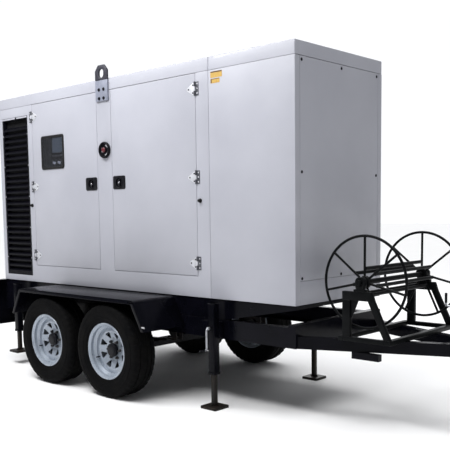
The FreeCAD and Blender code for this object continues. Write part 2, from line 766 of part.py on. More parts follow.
def canopy_frame():
    """The fixed sheet-metal plates of both sides and both ends, and four corner posts."""
    s = Sizes
    rear = back(s.canopy_length)
    front = s.canopy_front
    eaves = s.canopy_top - s.fascia_height
    sheet = s.sheet_metal
    pieces = []
    for side in SIDES.values():
        y = across(side, s.canopy_half_width - sheet, s.canopy_half_width)
        plates = [
            ((rear, back(s.louvre_rear)), (s.canopy_bottom, eaves)),
            ((back(s.louvre_rear), back(s.louvre_front)), (s.louvre_top, eaves)),
            ((back(s.louvre_rear), back(s.louvre_front)), (s.canopy_bottom, s.louvre_bottom)),
            ((back(s.louvre_front), back(s.rear_door_rear)), (s.canopy_bottom, eaves)),
            ((back(s.rear_door_rear), back(s.front_door_front)), (s.canopy_bottom, s.band_top)),
            ((back(s.front_door_front), back(s.roof_joint_back) - 1), (s.canopy_bottom, eaves)),
            ((back(s.roof_joint_back) + 1, front), (s.canopy_bottom, eaves)),
            ((back(s.rear_door_front), back(s.front_door_rear)), (s.band_top, eaves)),
        ]
        pieces += [block("plate", x, y, z) for x, z in plates]
        inner = across(side, s.canopy_half_width - s.door_depth, s.canopy_half_width - sheet)
        pieces.append(block("post_core", (back(s.rear_door_front) + 12, back(s.front_door_rear) - 12),
                            inner, (s.band_top, eaves)))
        for x in ((rear + sheet, rear + sheet + s.corner_post),
                  (front - sheet - s.corner_post, front - sheet)):
            pieces.append(block("corner", x, across(side, s.canopy_half_width - sheet - s.corner_post,
                                                    s.canopy_half_width - sheet),
                                (s.canopy_bottom, eaves)))
        strip = across(side, s.front_panel_half + 2, s.canopy_half_width - sheet)
        pieces.append(block("front_strip", (front - sheet, front), strip, (s.canopy_bottom, eaves)))
    pieces.append(block("front_sill", (front - sheet, front),
                        (-s.front_panel_half - 2, s.front_panel_half + 2),
                        (s.canopy_bottom, s.front_panel_bottom)))
    return keep("canopy_frame", group("frame", pieces))


def roof_panels():
    """Two caps with a turned-down fascia, which meet at a joint."""
    s = Sizes
    eaves = s.canopy_top - s.fascia_height
    sheet = s.sheet_metal
    joint = back(s.roof_joint_back)
    wide = (-s.canopy_half_width, s.canopy_half_width)
    inside = (-s.canopy_half_width + sheet, s.canopy_half_width - sheet)
    under = (eaves - 10, s.canopy_top - sheet)
    rear = back(s.canopy_length)
    rear_cap = cut("rear_cap", block("rear_outer", (rear, joint - 1), wide, (eaves, s.canopy_top)),
                   block("rear_inner", (rear + sheet, joint + 20), inside, under))
    front_cap = cut("front_cap",
                    block("front_outer", (joint + 1, s.canopy_front), wide, (eaves, s.canopy_top)),
                    block("front_inner", (joint - 20, s.canopy_front - sheet), inside, under))
    return keep("roof_panels", group("caps", [rear_cap, front_cap]))


def end_panels():
    """The screwed-on front panel and the plain rear wall."""
    s = Sizes
    eaves = s.canopy_top - s.fascia_height
    sheet = s.sheet_metal
    panel = body("front_panel")
    holes = front_screw_places()
    outline = rectangle(sketch(panel, "YZ", s.canopy_front - sheet),
                        (-s.front_panel_half, s.front_panel_half),
                        (s.front_panel_bottom + 2, eaves - 2))
    pad(panel, outline, sheet)
    drilled = sketch(panel, "YZ", s.canopy_front)
    for y, z in holes:
        circle(drilled, y, z, 4.5)
    pocket(panel, drilled, sheet * 2, way=-1)
    keep("front_panel", panel)
    rear = back(s.canopy_length)
    half = s.canopy_half_width - sheet
    return keep("rear_panel", block("rear_wall", (rear, rear + sheet), (-half, half),
                                    (s.canopy_bottom, eaves)))


def front_screw_places():
    """Y and Z of the front panel's screws: three above, two at mid height, three below."""
    inset = Sizes.front_panel_half - 19
    top = Sizes.canopy_top - Sizes.fascia_height - 27
    low = Sizes.front_panel_bottom + 19
    return [(-inset, top), (length(0), top), (inset, top), (-inset, length(1680)),
            (inset, length(1680)), (-inset, low), (length(0), low), (inset, low)]


def fasteners():
    """Panel screws with their shanks, the heads of the lifting lugs' bolts, and door buffers."""
    s = Sizes
    pieces = []
    for y, z in front_screw_places():
        head = rod("head", "x", 8, s.canopy_front, s.canopy_front + 4, y=y, z=z)
        shank = rod("shank", "x", 4.4, s.canopy_front - 12, s.canopy_front + 1, y=y, z=z)
        pieces.append(fuse("screw", head, shank))
    for side in SIDES.values():
        face = s.canopy_half_width + s.lug_thick
        for along in (-0.5, 0.5):
            for z in (s.lug_bolt_low, s.lug_bolt_high):
                pieces.append(rod("bolt", "y", 12, *across(side, face, face + 8),
                                  x=back(s.lug_back) + s.lug_bolt_wide * along, z=z))
        for x in (back(s.rear_door_rear) - s.buffer_offset, back(s.front_door_front) + s.buffer_offset):
            pieces.append(rod("buffer", "y", 14, *across(side, s.canopy_half_width,
                                                         s.canopy_half_width + 22),
                              x=x, z=s.buffer_height))
    return keep("fasteners", group("screws", pieces))


def side_louvres():
    """A framed grille of sloping slats at the rear of each side."""
    s = Sizes
    grilles = []
    rear = back(s.louvre_rear) + 1
    front = back(s.louvre_front) - 1
    low = s.louvre_bottom + 1
    high = s.louvre_top - 1
    border = s.louvre_border
    count = int((DIMENSIONS["louvre_top"] - DIMENSIONS["louvre_bottom"] - 2
                 - 2 * DIMENSIONS["louvre_border"]) // DIMENSIONS["slat_pitch"])
    for name, side in SIDES.items():
        grille = body(f"louvre_{name}")
        outside = -(s.canopy_half_width - 2) * side
        frame = rectangle(sketch(grille, "XZ", outside), (rear, front), (low, high))
        rectangle(frame, (rear + border, front - border), (low + border, high - border))
        pad(grille, frame, s.louvre_depth, way=side)
        outer = (s.canopy_half_width - 6) * side
        inner = (s.canopy_half_width - s.louvre_depth + 4) * side
        bottom = low + border + 2
        top = bottom + s.slat_rise
        profile = [(outer, bottom), (inner, top), (inner, top + s.slat_thick),
                   (outer, bottom + s.slat_thick)]
        drawing = polygon(sketch(grille, "YZ", rear + border - 2), profile)
        slat = pad(grille, drawing, front - rear - border * 2 + 4)
        pattern = grille.newObject("PartDesign::LinearPattern", "LinearPattern")
        pattern.Originals = [slat]
        pattern.Direction = (drawing, ["V_Axis"])
        bind(pattern, "Length", s.slat_pitch * (count - 1))
        pattern.Occurrences = count
        grille.Tip = pattern
        grilles.append(grille)
    return keep("side_louvres", group("grilles", grilles))


def lifting_lugs():
    """A thick plate with chamfered shoulders and an eye, on the centre line of each side."""
    s = Sizes
    lugs = []
    x = back(s.lug_back)
    half = s.lug_wide * 0.5
    for name, side in SIDES.items():
        lug = body(f"lug_{name}")
        face = -s.canopy_half_width * side
        outline = [(x - half, s.lug_bottom), (x + half, s.lug_bottom), (x + half, s.lug_top - 45),
                   (x + half - 40, s.lug_top), (x - half + 40, s.lug_top),
                   (x - half, s.lug_top - 45)]
        pad(lug, polygon(sketch(lug, "XZ", face), outline), s.lug_thick, way=-side)
        eye = circle(sketch(lug, "XZ", face), x, s.lug_eye_height, s.lug_eye)
        pocket(lug, eye, s.lug_thick * 3, way=0)
        lugs.append(lug)
    return keep("lifting_lugs", group("lugs", lugs))


def emergency_stop():
    """A round guard on the right-hand post and the mushroom button in it."""
    s = Sizes
    guard = body("estop_guard")
    x = back(s.stop_back)
    z = s.stop_height
    face = s.canopy_half_width
    plate = circle(sketch(guard, "XZ", face), x, z, s.stop_radius)
    pad(guard, plate, 26)
    recess = circle(sketch(guard, "XZ", face + 26), x, z, s.stop_radius - 12)
    pocket(guard, recess, 20, way=-1)
    collar = circle(sketch(guard, "XZ", face + 5), x, z, s.stop_button - 3)
    pad(guard, collar, 6)
    stem_hole = circle(sketch(guard, "XZ", face + 30), x, z, 8.3)
    pocket(guard, stem_hole, 29, way=-1)
    keep("estop_guard", guard)
    button = body("estop_button")
    stem = circle(sketch(button, "XZ", face + s.stop_travel + 2), x, z, 8)
    pad(button, stem, 12)
    mushroom = circle(sketch(button, "XZ", face + s.stop_travel + 12), x, z, s.stop_button)
    pad(button, mushroom, 12)
    return keep("estop_button", button)


# ---------------------------------------------------------------- doors

def door_pan(label, side, x, window):
    """A folded door with its hollow back, a latch cut-out and perhaps a window."""
    s = Sizes
    pan = body(label)
    face = -s.canopy_half_width * side
    gap = s.panel_gap * 0.75
    low = s.band_top + gap
    high = s.canopy_top - s.fascia_height - gap
    span = (x[0] + gap, x[1] - gap)
    pad(pan, rectangle(sketch(pan, "XZ", face), span, (low, high)), s.door_depth, way=side)
    inner_face = -(s.canopy_half_width - s.door_depth) * side
    inside = rectangle(sketch(pan, "XZ", inner_face),
                       (span[0] + s.sheet_metal, span[1] - s.sheet_metal),
                       (low + s.sheet_metal, high - s.sheet_metal))
    pocket(pan, inside, s.door_depth - s.sheet_metal, way=-side)
    latch = latch_centre(x, window)
    cutout = rectangle(sketch(pan, "XZ", face),
                       (latch - s.latch_wide * 0.5 + 7, latch + s.latch_wide * 0.5 - 7),
                       (s.latch_height - s.latch_tall * 0.5 + 7,
                        s.latch_height + s.latch_tall * 0.5 - 7))
    pocket(pan, cutout, 10, way=side)
    if window == "glazed":
        light = rectangle(sketch(pan, "XZ", face),
                          (back(s.window_rear) + 14, back(s.window_front) - 14),
                          (s.window_bottom + 14, s.window_top - 14))
        pocket(pan, light, 10, way=side)
    return pan


def latch_centre(x, kind):
    """X of a door's latch: near the post between the two doors."""
    s = Sizes
    return x[1] - s.latch_setback if kind != "front" else x[0] + s.latch_setback


def latch_tray(side, x):
    """The recessed escutcheon that is fixed in the door's skin."""
    s = Sizes
    outer = s.canopy_half_width
    half_w = s.latch_wide * 0.5
    half_t = s.latch_tall * 0.5
    z = s.latch_height
    flange = block("flange", (x - half_w, x + half_w),
                   across(side, outer, outer + s.latch_flange), (z - half_t, z + half_t))
    dish = block("dish", (x - half_w + 8, x + half_w - 8),
                 across(side, outer - s.latch_recess - 4, outer), (z - half_t + 8, z + half_t - 8))
    recess = rod("recess", "y", s.latch_disc + 6,
                 *across(side, outer - s.latch_recess, outer + 20), x=x, z=z)
    hole = rod("hole", "y", s.latch_spindle + s.pin_clearance,
               *across(side, outer - s.latch_recess - 10, outer), x=x, z=z)
    return cut("tray", fuse("tray_blank", flange, dish), fuse("tray_space", recess, hole))


def latch_handle(node, side, x):
    """The turning handle: disc, finger bar, key cylinder, spindle and the cam behind the door."""
    s = Sizes
    outer = s.canopy_half_width
    z = s.latch_height
    behind = outer - s.door_depth
    disc = rod("disc", "y", s.latch_disc, *across(side, outer - s.latch_recess + 0.5, outer - 4),
               x=x, z=z)
    bar = block("bar", (x - 9, x + 9), across(side, outer - 5, outer + 5),
                (z - s.latch_disc + 3, z + s.latch_disc - 3))
    key = rod("key", "y", 12, *across(side, outer - 5, outer + 8), x=x, z=z)
    spindle = rod("spindle", "y", s.latch_spindle, *across(side, behind - 8, outer - 5), x=x, z=z)
    cam = block("cam", (x - 11, x + 11), across(side, behind - 8, behind - 3),
                (z - s.latch_cam, z + 14))
    return keep(node, fuse("handle", disc, bar, key, spindle, cam))


def hinge_heights():
    s = Sizes
    return (s.hinge_low, s.hinge_mid, s.hinge_high)


def door_leaf(side, pin_x, toward, z):
    """The triangular hinge leaf screwed to the door, with the middle knuckle round the pin."""
    s = Sizes
    face = s.canopy_half_width
    pin_y = face + s.leaf_thick + s.knuckle_radius - 2
    leaf = body("door_leaf")
    third = s.hinge_tall * (1 / 6)
    tip = pin_x + s.leaf_reach * toward
    root = pin_x + (s.knuckle_radius + 1.5) * toward
    drawing = sketch(leaf, "XZ", -face * side)
    polygon(drawing, [(root, z - s.hinge_tall * 0.5), (root, z + s.hinge_tall * 0.5),
                      (tip, z + 9), (tip, z - 9)])
    pad(leaf, drawing, s.leaf_thick, way=-side)
    bridge_y = across(side, face, pin_y)
    bridge_x = (pin_x, root + 4) if toward > 0 else (root - 4, pin_x)
    bridge = block("bridge", bridge_x, bridge_y, (z - third + 0.6, z + third - 0.6))
    barrel = rod("barrel", "z", s.knuckle_radius, z - third + 0.6, z + third - 0.6, x=pin_x,
                 y=pin_y * side)
    bore = rod("pin_bore", "z", s.pin_radius + s.pin_clearance, z - s.hinge_tall,
               z + s.hinge_tall, x=pin_x, y=pin_y * side)
    return cut("moving_leaf", fuse("leaf_blank", leaf, bridge, barrel), bore)


def frame_leaf(side, pin_x, toward, z):
    """The narrow leaf on the fixed post, with two knuckles and the pin pressed through them."""
    s = Sizes
    face = s.canopy_half_width
    pin_y = (face + s.leaf_thick + s.knuckle_radius - 2)
    third = s.hinge_tall * (1 / 6)
    half = s.hinge_tall * 0.5
    away = -toward

    def span(first, second):
        return (first, second) if away > 0 else (second, first)

    near = pin_x + (s.knuckle_radius + 1.5) * away
    plate = block("frame_plate", span(near, near + s.frame_leaf * away),
                  across(side, face, face + s.leaf_thick), (z - half, z + half))
    parts = [plate, rod("pin", "z", s.pin_radius, z - half, z + half, x=pin_x, y=pin_y * side)]
    for low, high in ((z - half, z - third), (z + third, z + half)):
        parts.append(rod("knuckle", "z", s.knuckle_radius, low, high, x=pin_x, y=pin_y * side))
        parts.append(block("bridge", span(pin_x, near + 4 * away), across(side, face, pin_y),
                           (low, high)))
    return fuse("fixed_leaf", *parts)


def doors():
    """Two doors on each side; both latch on the post between them."""
    s = Sizes
    openings = {"rear": ((back(s.rear_door_rear), back(s.rear_door_front)), 0, 1),
                "front": ((back(s.front_door_rear), back(s.front_door_front)), 1, -1)}
    brackets = []
    for name, side in SIDES.items():
        for end, (x, hinge_edge, toward) in openings.items():
            kind = "glazed" if (end, name) == ("rear", "right") else end
            pan = door_pan(f"pan_{end}_{name}", side, x, kind)
            latch_x = latch_centre(x, kind)
            pieces = [pan, latch_tray(side, latch_x)]
            for z in hinge_heights():
                pieces.append(door_leaf(side, x[hinge_edge], toward, z))
                brackets.append(frame_leaf(side, x[hinge_edge], toward, z))
            keep(f"door_{end}_{name}", group(f"door_group_{end}_{name}", pieces))
            latch_handle(f"latch_{end}_{name}", side, latch_x)
    keep("hinge_brackets", group("brackets", brackets))
    return keep("window_glass", block("glass", (back(s.window_rear) + 4, back(s.window_front) - 4),
                                      (-s.canopy_half_width - s.glass_thick, -s.canopy_half_width),
                                      (s.window_bottom + 4, s.window_top - 4)))


# ---------------------------------------------------------------- inside the canopy

def engine():
    """Block with crank gallery, sump, head, rocker cover, flywheel housing and feet."""
    s = Sizes
    axis = s.shaft_height
    x = (back(s.engine_rear), back(s.engine_front))
    outside = block("block_outside", x, (-190, 190), (axis - 160, axis + 260))
    bore = rod("bearing", "x", s.shaft_radius + 0.05, x[0] - 100, x[1] + 50, z=axis)
    gallery = rod("gallery", "x", 115, x[0] + 30, x[1] - 30, z=axis)
    jackets = [block("jacket", (x[0] + 20, x[1] - 20), across(side, 75, 150), (axis + 90, axis + 300))
               for side in SIDES.values()]
    cylinders = [rod("cylinder", "z", 52, axis + 60, axis + 300, x=x[0] + 110 + 145 * k)
                 for k in range(6)]
    cavity = fuse("cavity", bore, gallery, *cylinders)
    passages = fuse("passages", *jackets)
    pieces = [cut("cylinder_block", cut("bored_block", outside, cavity), passages)]
    sump = block("sump_skin", (x[0] + 60, x[1] - 60), (-150, 150), (axis - 330, axis - 160))
    hollow = block("sump_space", (x[0] + 66, x[1] - 66), (-144, 144), (axis - 324, axis - 150))
    pieces.append(cut("sump", sump, hollow))
    head = block("head_skin", (x[0] + 20, x[1] - 20), (-150, 150), (axis + 260, axis + 350))
    ports = block("head_space", (x[0] + 60, x[1] - 60), (-66, 66), (axis + 276, axis + 360))
    pieces.append(cut("head", head, ports))
    cover = block("cover_skin", (x[0] + 50, x[1] - 50), (-80, 80), (axis + 350, axis + 430))
    space = block("cover_space", (x[0] + 54, x[1] - 54), (-76, 76), (axis + 350, axis + 426))
    pieces.append(cut("rocker_cover", cover, space))
    housing = rod("housing_skin", "x", 240, back(s.engine_rear + 80), x[0], z=axis)
    well = rod("housing_space", "x", 225, back(s.engine_rear + 90), x[0] - 12, z=axis)
    shell = cut("housing_shell", housing, well)
    pieces.append(cut("flywheel_housing", shell, rod("seal", "x", s.shaft_radius + 0.05,
                                                     x[0] - 40, x[0] + 10, z=axis)))
    for along in (x[0] + 120, x[1] - 160):
        for side in SIDES.values():
            pieces.append(block("foot", (along, along + 90), across(side, 190, 300),
                                (s.canopy_bottom + 70, axis - 60)))
    return keep("engine_block", group("engine", pieces))


def crankshaft():
    """One rotating line: fan, pulley, crank webs, flywheel, generator rotor and their shaft."""
    s = Sizes
    axis = s.shaft_height
    front = back(s.engine_front)
    rear = back(s.alternator_rear)
    parts = [rod("shaft", "x", s.shaft_radius, rear + 4, front + 110, z=axis)]
    for k in range(7):
        start = back(s.engine_rear) + 60 + 125 * k
        parts.append(rod("web", "x", 88, start, start + 24, z=axis))
    parts.append(rod("pulley", "x", 95, front + 20, front + 60, z=axis))
    parts.append(rod("flywheel", "x", 205, back(s.engine_rear) - 62, back(s.engine_rear) - 18,
                     z=axis))
    parts.append(rod("rotor", "x", s.rotor_radius, rear + 190, rear + 450, z=axis))
    keep("crankshaft", fuse("rotating_line", *parts))

    fan = body("fan")
    hub = sketch(fan, "YZ", 0)
    circle(hub, 0, 0, 70)
    circle(hub, 0, 0, s.shaft_radius)
    pad(fan, hub, 46)
    blade_sketch = sketch(fan, "XZ", -62)
    polygon(blade_sketch, [(4, -55), (10, -55), (42, 55), (36, 55)])
    blade = pad(fan, blade_sketch, s.fan_radius - 62, way=-1)
    pattern = fan.newObject("PartDesign::PolarPattern", "PolarPattern")
    pattern.Originals = [blade]
    pattern.Axis = (hub, ["N_Axis"])
    pattern.Angle = 360
    pattern.Occurrences = 7
    fan.Tip = pattern
    place(fan, front + 64, 0, axis)
    return keep("cooling_fan", fan)


def alternator():
    """The stator shell round the rotor, with a drive-end flange, a rear bearing end and feet."""
    s = Sizes
    axis = s.shaft_height
    x = (back(s.alternator_rear), back(s.engine_rear + 82))
    outside = rod("shell", "x", s.alternator_radius, x[0], x[1], z=axis)
    space = rod("space", "x", s.alternator_radius - 14, x[0] + 20, x[1] + 20, z=axis)
    bore = rod("bore", "x", s.shaft_radius + 0.05, x[0] - 20, x[0] + 40, z=axis)
    stator_ring = cut("stator_ring",
                      rod("stator_outer", "x", s.alternator_radius - 14, x[0] + 180, x[0] + 460,
                          z=axis),
                      rod("stator_bore", "x", s.rotor_radius + 3, x[0] + 100, x[0] + 530, z=axis))
    feet = [block("foot", (along, along + 100), across(side, 120, 290),
                  (s.canopy_bottom + 70, axis - 225))
            for along in (x[0] + 60, x[0] + 420) for side in SIDES.values()]
    shell = cut("alternator_shell", fuse("alternator_blank", outside, *feet),
                fuse("alternator_space", space, bore))
    roof = axis + s.alternator_radius
    terminal = block("terminal_box", (x[0] + 90, x[0] + 460), (-190, 190), (roof, roof + 190))
    terminal_space = block("terminal_space", (x[0] + 94, x[0] + 456), (-186, 186),
                           (roof + 4, roof + 186))
    box = cut("terminals", terminal, terminal_space)
    return keep("alternator", group("generator", [shell, stator_ring, box]))


def auxiliaries():
    """Radiator, silencer, air filter, battery, control cabinet and rubber mounts."""
    s = Sizes
    core = block("core", (back(250), back(170)), (-420, 420), (900, 1900))
    shroud = block("shroud_skin", (back(390), back(250)), (-400, 400), (930, 1860))
    duct = block("shroud_duct", (back(386), back(240)), (-396, 396), (934, 1856))
    ring = rod("shroud_bore", "x", s.fan_radius + 25, back(400), back(240), z=s.shaft_height)
    shell = cut("shroud_shell", shroud, duct)
    keep("radiator", group("cooling_pack", [core, cut("shroud", shell, ring)]))

    y = length(-130)
    skin = fuse("exhaust_skin", rod("silencer_skin", "x", 150, back(1250), back(450), y=y, z=2250),
                rod("down_pipe", "z", 45, s.shaft_height + 350, 2150, x=back(1150), y=y),
                rod("tail_pipe", "z", 45, 2350, 2520, x=back(600), y=y))
    gas = fuse("exhaust_space", rod("silencer_space", "x", 146, back(1246), back(454), y=y, z=2250),
               rod("pipe_space", "z", 41, s.shaft_height + 350, 2200, x=back(1150), y=y),
               rod("tail_space", "z", 41, 2300, 2530, x=back(600), y=y))
    keep("silencer", cut("exhaust", skin, gas))

    keep("air_filter", cut("filter", rod("canister", "x", 115, back(1700), back(1350), y=250, z=1950),
                           rod("filter_core", "x", 50, back(1650), back(1340), y=250, z=1950)))
    keep("battery", block("battery_case", (back(2700), back(2430)), (150, 330),
                          (s.canopy_bottom, s.canopy_bottom + 225)))

    cabinet = block("cabinet_skin", (back(2920), back(2510)), (-480, -230), (1250, 2180))
    space = block("cabinet_space", (back(2916), back(2514)), (-476, -226), (1254, 2176))
    screen = block("controller", (back(2820), back(2614)), (-492, -480), (1900, 2060))
    keep("control_cabinet", group("controls", [cut("cabinet", cabinet, space), screen]))

    mounts = []
    for x in (back(s.engine_rear) + 165, back(s.engine_front) - 115, back(s.alternator_rear) + 110,
              back(s.alternator_rear) + 470):
        for side in SIDES.values():
            mounts.append(rod("mount", "z", 38, s.canopy_bottom, s.canopy_bottom + 70, x=x,
                              y=245 * side))
    return keep("vibration_mounts", group("mounts", mounts))


def build():
    fill_sheet()
    chassis_rails()
    cross_members()
    drawbar()
    tow_eye()
    base_tank()
    fenders()
    rear_bumper()
    axle_beams()
    leaf_springs()
    for name, side in SIDES.items():
        for end, x in axle_positions().items():
            wheel(f"{end}_{name}", side, x)
    jacks()
    reel()
    reel_stand()
    canopy_frame()
    roof_panels()
    end_panels()
    fasteners()
    side_louvres()
    lifting_lugs()
    emergency_stop()
    doors()
    engine()
    crankshaft()
    alternator()
    auxiliaries()
    DOC.recompute()


def check():
    """Stops if any object failed or any sub-part's shape is unusable."""
    for obj in DOC.Objects:
        if "Invalid" in obj.State or "Error" in obj.State:
            raise RuntimeError(f"{obj.Label} failed: {obj.State}")
    for node, obj in NODES.items():
        if obj.Shape.isNull() or not obj.Shape.isValid() or obj.Shape.Volume <= 0:
            raise RuntimeError(f"{node} has no valid shape")
    if len(NODES) > 60:
        raise RuntimeError(f"{len(NODES)} sub-parts are too many")


def write():
    os.makedirs("parts", exist_ok=True)
    for old in os.listdir("parts"):
        os.remove(os.path.join("parts", old))
    for node, obj in NODES.items():
        obj.Shape.exportStep(os.path.join("parts", node + ".step"))
    print(len(NODES), "sub-parts written")


build()
check()
write()
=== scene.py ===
"""Towable diesel generator: the detailed visual pieces, their materials, the stage and the camera.

Metres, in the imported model's own frame: +X to the tow eye, +Z up, floor at Z = 0.
"""
import bmesh
import bpy
import json
import math
from mathutils import Matrix, Vector


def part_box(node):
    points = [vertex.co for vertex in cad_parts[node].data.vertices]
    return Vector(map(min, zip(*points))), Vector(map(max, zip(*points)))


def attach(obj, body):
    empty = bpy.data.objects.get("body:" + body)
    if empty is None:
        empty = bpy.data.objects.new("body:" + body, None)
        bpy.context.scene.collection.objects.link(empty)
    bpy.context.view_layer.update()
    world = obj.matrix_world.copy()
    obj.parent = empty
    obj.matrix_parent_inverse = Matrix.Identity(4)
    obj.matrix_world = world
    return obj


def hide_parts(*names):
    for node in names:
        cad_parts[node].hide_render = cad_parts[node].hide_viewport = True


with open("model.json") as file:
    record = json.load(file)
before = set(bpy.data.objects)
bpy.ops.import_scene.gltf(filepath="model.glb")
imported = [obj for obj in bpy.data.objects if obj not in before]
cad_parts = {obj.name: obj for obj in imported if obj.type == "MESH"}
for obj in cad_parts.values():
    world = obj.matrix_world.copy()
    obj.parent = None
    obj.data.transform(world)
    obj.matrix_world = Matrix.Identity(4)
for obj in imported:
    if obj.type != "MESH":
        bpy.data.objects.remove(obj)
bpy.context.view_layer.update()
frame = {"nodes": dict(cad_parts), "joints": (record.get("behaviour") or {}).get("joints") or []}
JOINTS = {joint["name"]: joint for joint in frame["joints"]}
SIDES = {"right": -1, "left": 1}
ENDS = ("rear", "front")

# The canopy's own planes, read from the frame
REAR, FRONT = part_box("canopy_frame")[0][0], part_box("canopy_frame")[1][0]
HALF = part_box("canopy_frame")[1][1]
BOTTOM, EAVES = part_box("canopy_frame")[0][2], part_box("canopy_frame")[1][2]
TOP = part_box("roof_panels")[1][2]
FRONT_CAP = 0.775
ROOF_JOINT = FRONT - FRONT_CAP
GAP = 0.003
BUFFER_HEIGHT = 1.508


# ---------------------------------------------------------------- mesh building

DRAWN_ON = {"x": (1, 2, 0), "y": (0, 2, 1), "z": (0, 1, 2)}


def spot(axis, u, v, w):
    """The point at u, v in the plane across an axis, and w along it."""
    point = [0.0, 0.0, 0.0]
    for index, value in zip(DRAWN_ON[axis], (u, v, w)):
        point[index] = value
    return Vector(point)


def rectangle(u0, v0, u1, v1):
    return [(u0, v0), (u1, v0), (u1, v1), (u0, v1)]


def rounded(outline, radius, steps=4):
    """The outline with every corner turned into an arc."""
    points = []
    count = len(outline)
    for i, corner in enumerate(outline):
        here = Vector(corner)
        before = Vector(outline[i - 1]) - here
        after = Vector(outline[(i + 1) % count]) - here
        half = before.angle(after) / 2
        back = min(radius / math.tan(half), 0.45 * before.length, 0.45 * after.length)
        arc = back * math.tan(half)
        centre = here + (before.normalized() + after.normalized()).normalized() * arc / math.sin(half)
        first = here + before.normalized() * back - centre
        last = here + after.normalized() * back - centre
        turn = math.atan2(first.x * last.y - first.y * last.x, first.dot(last))
        start = math.atan2(first.y, first.x)
        for k in range(steps + 1):
            angle = start + turn * k / steps
            points.append((centre.x + arc * math.cos(angle), centre.y + arc * math.sin(angle)))
    return points


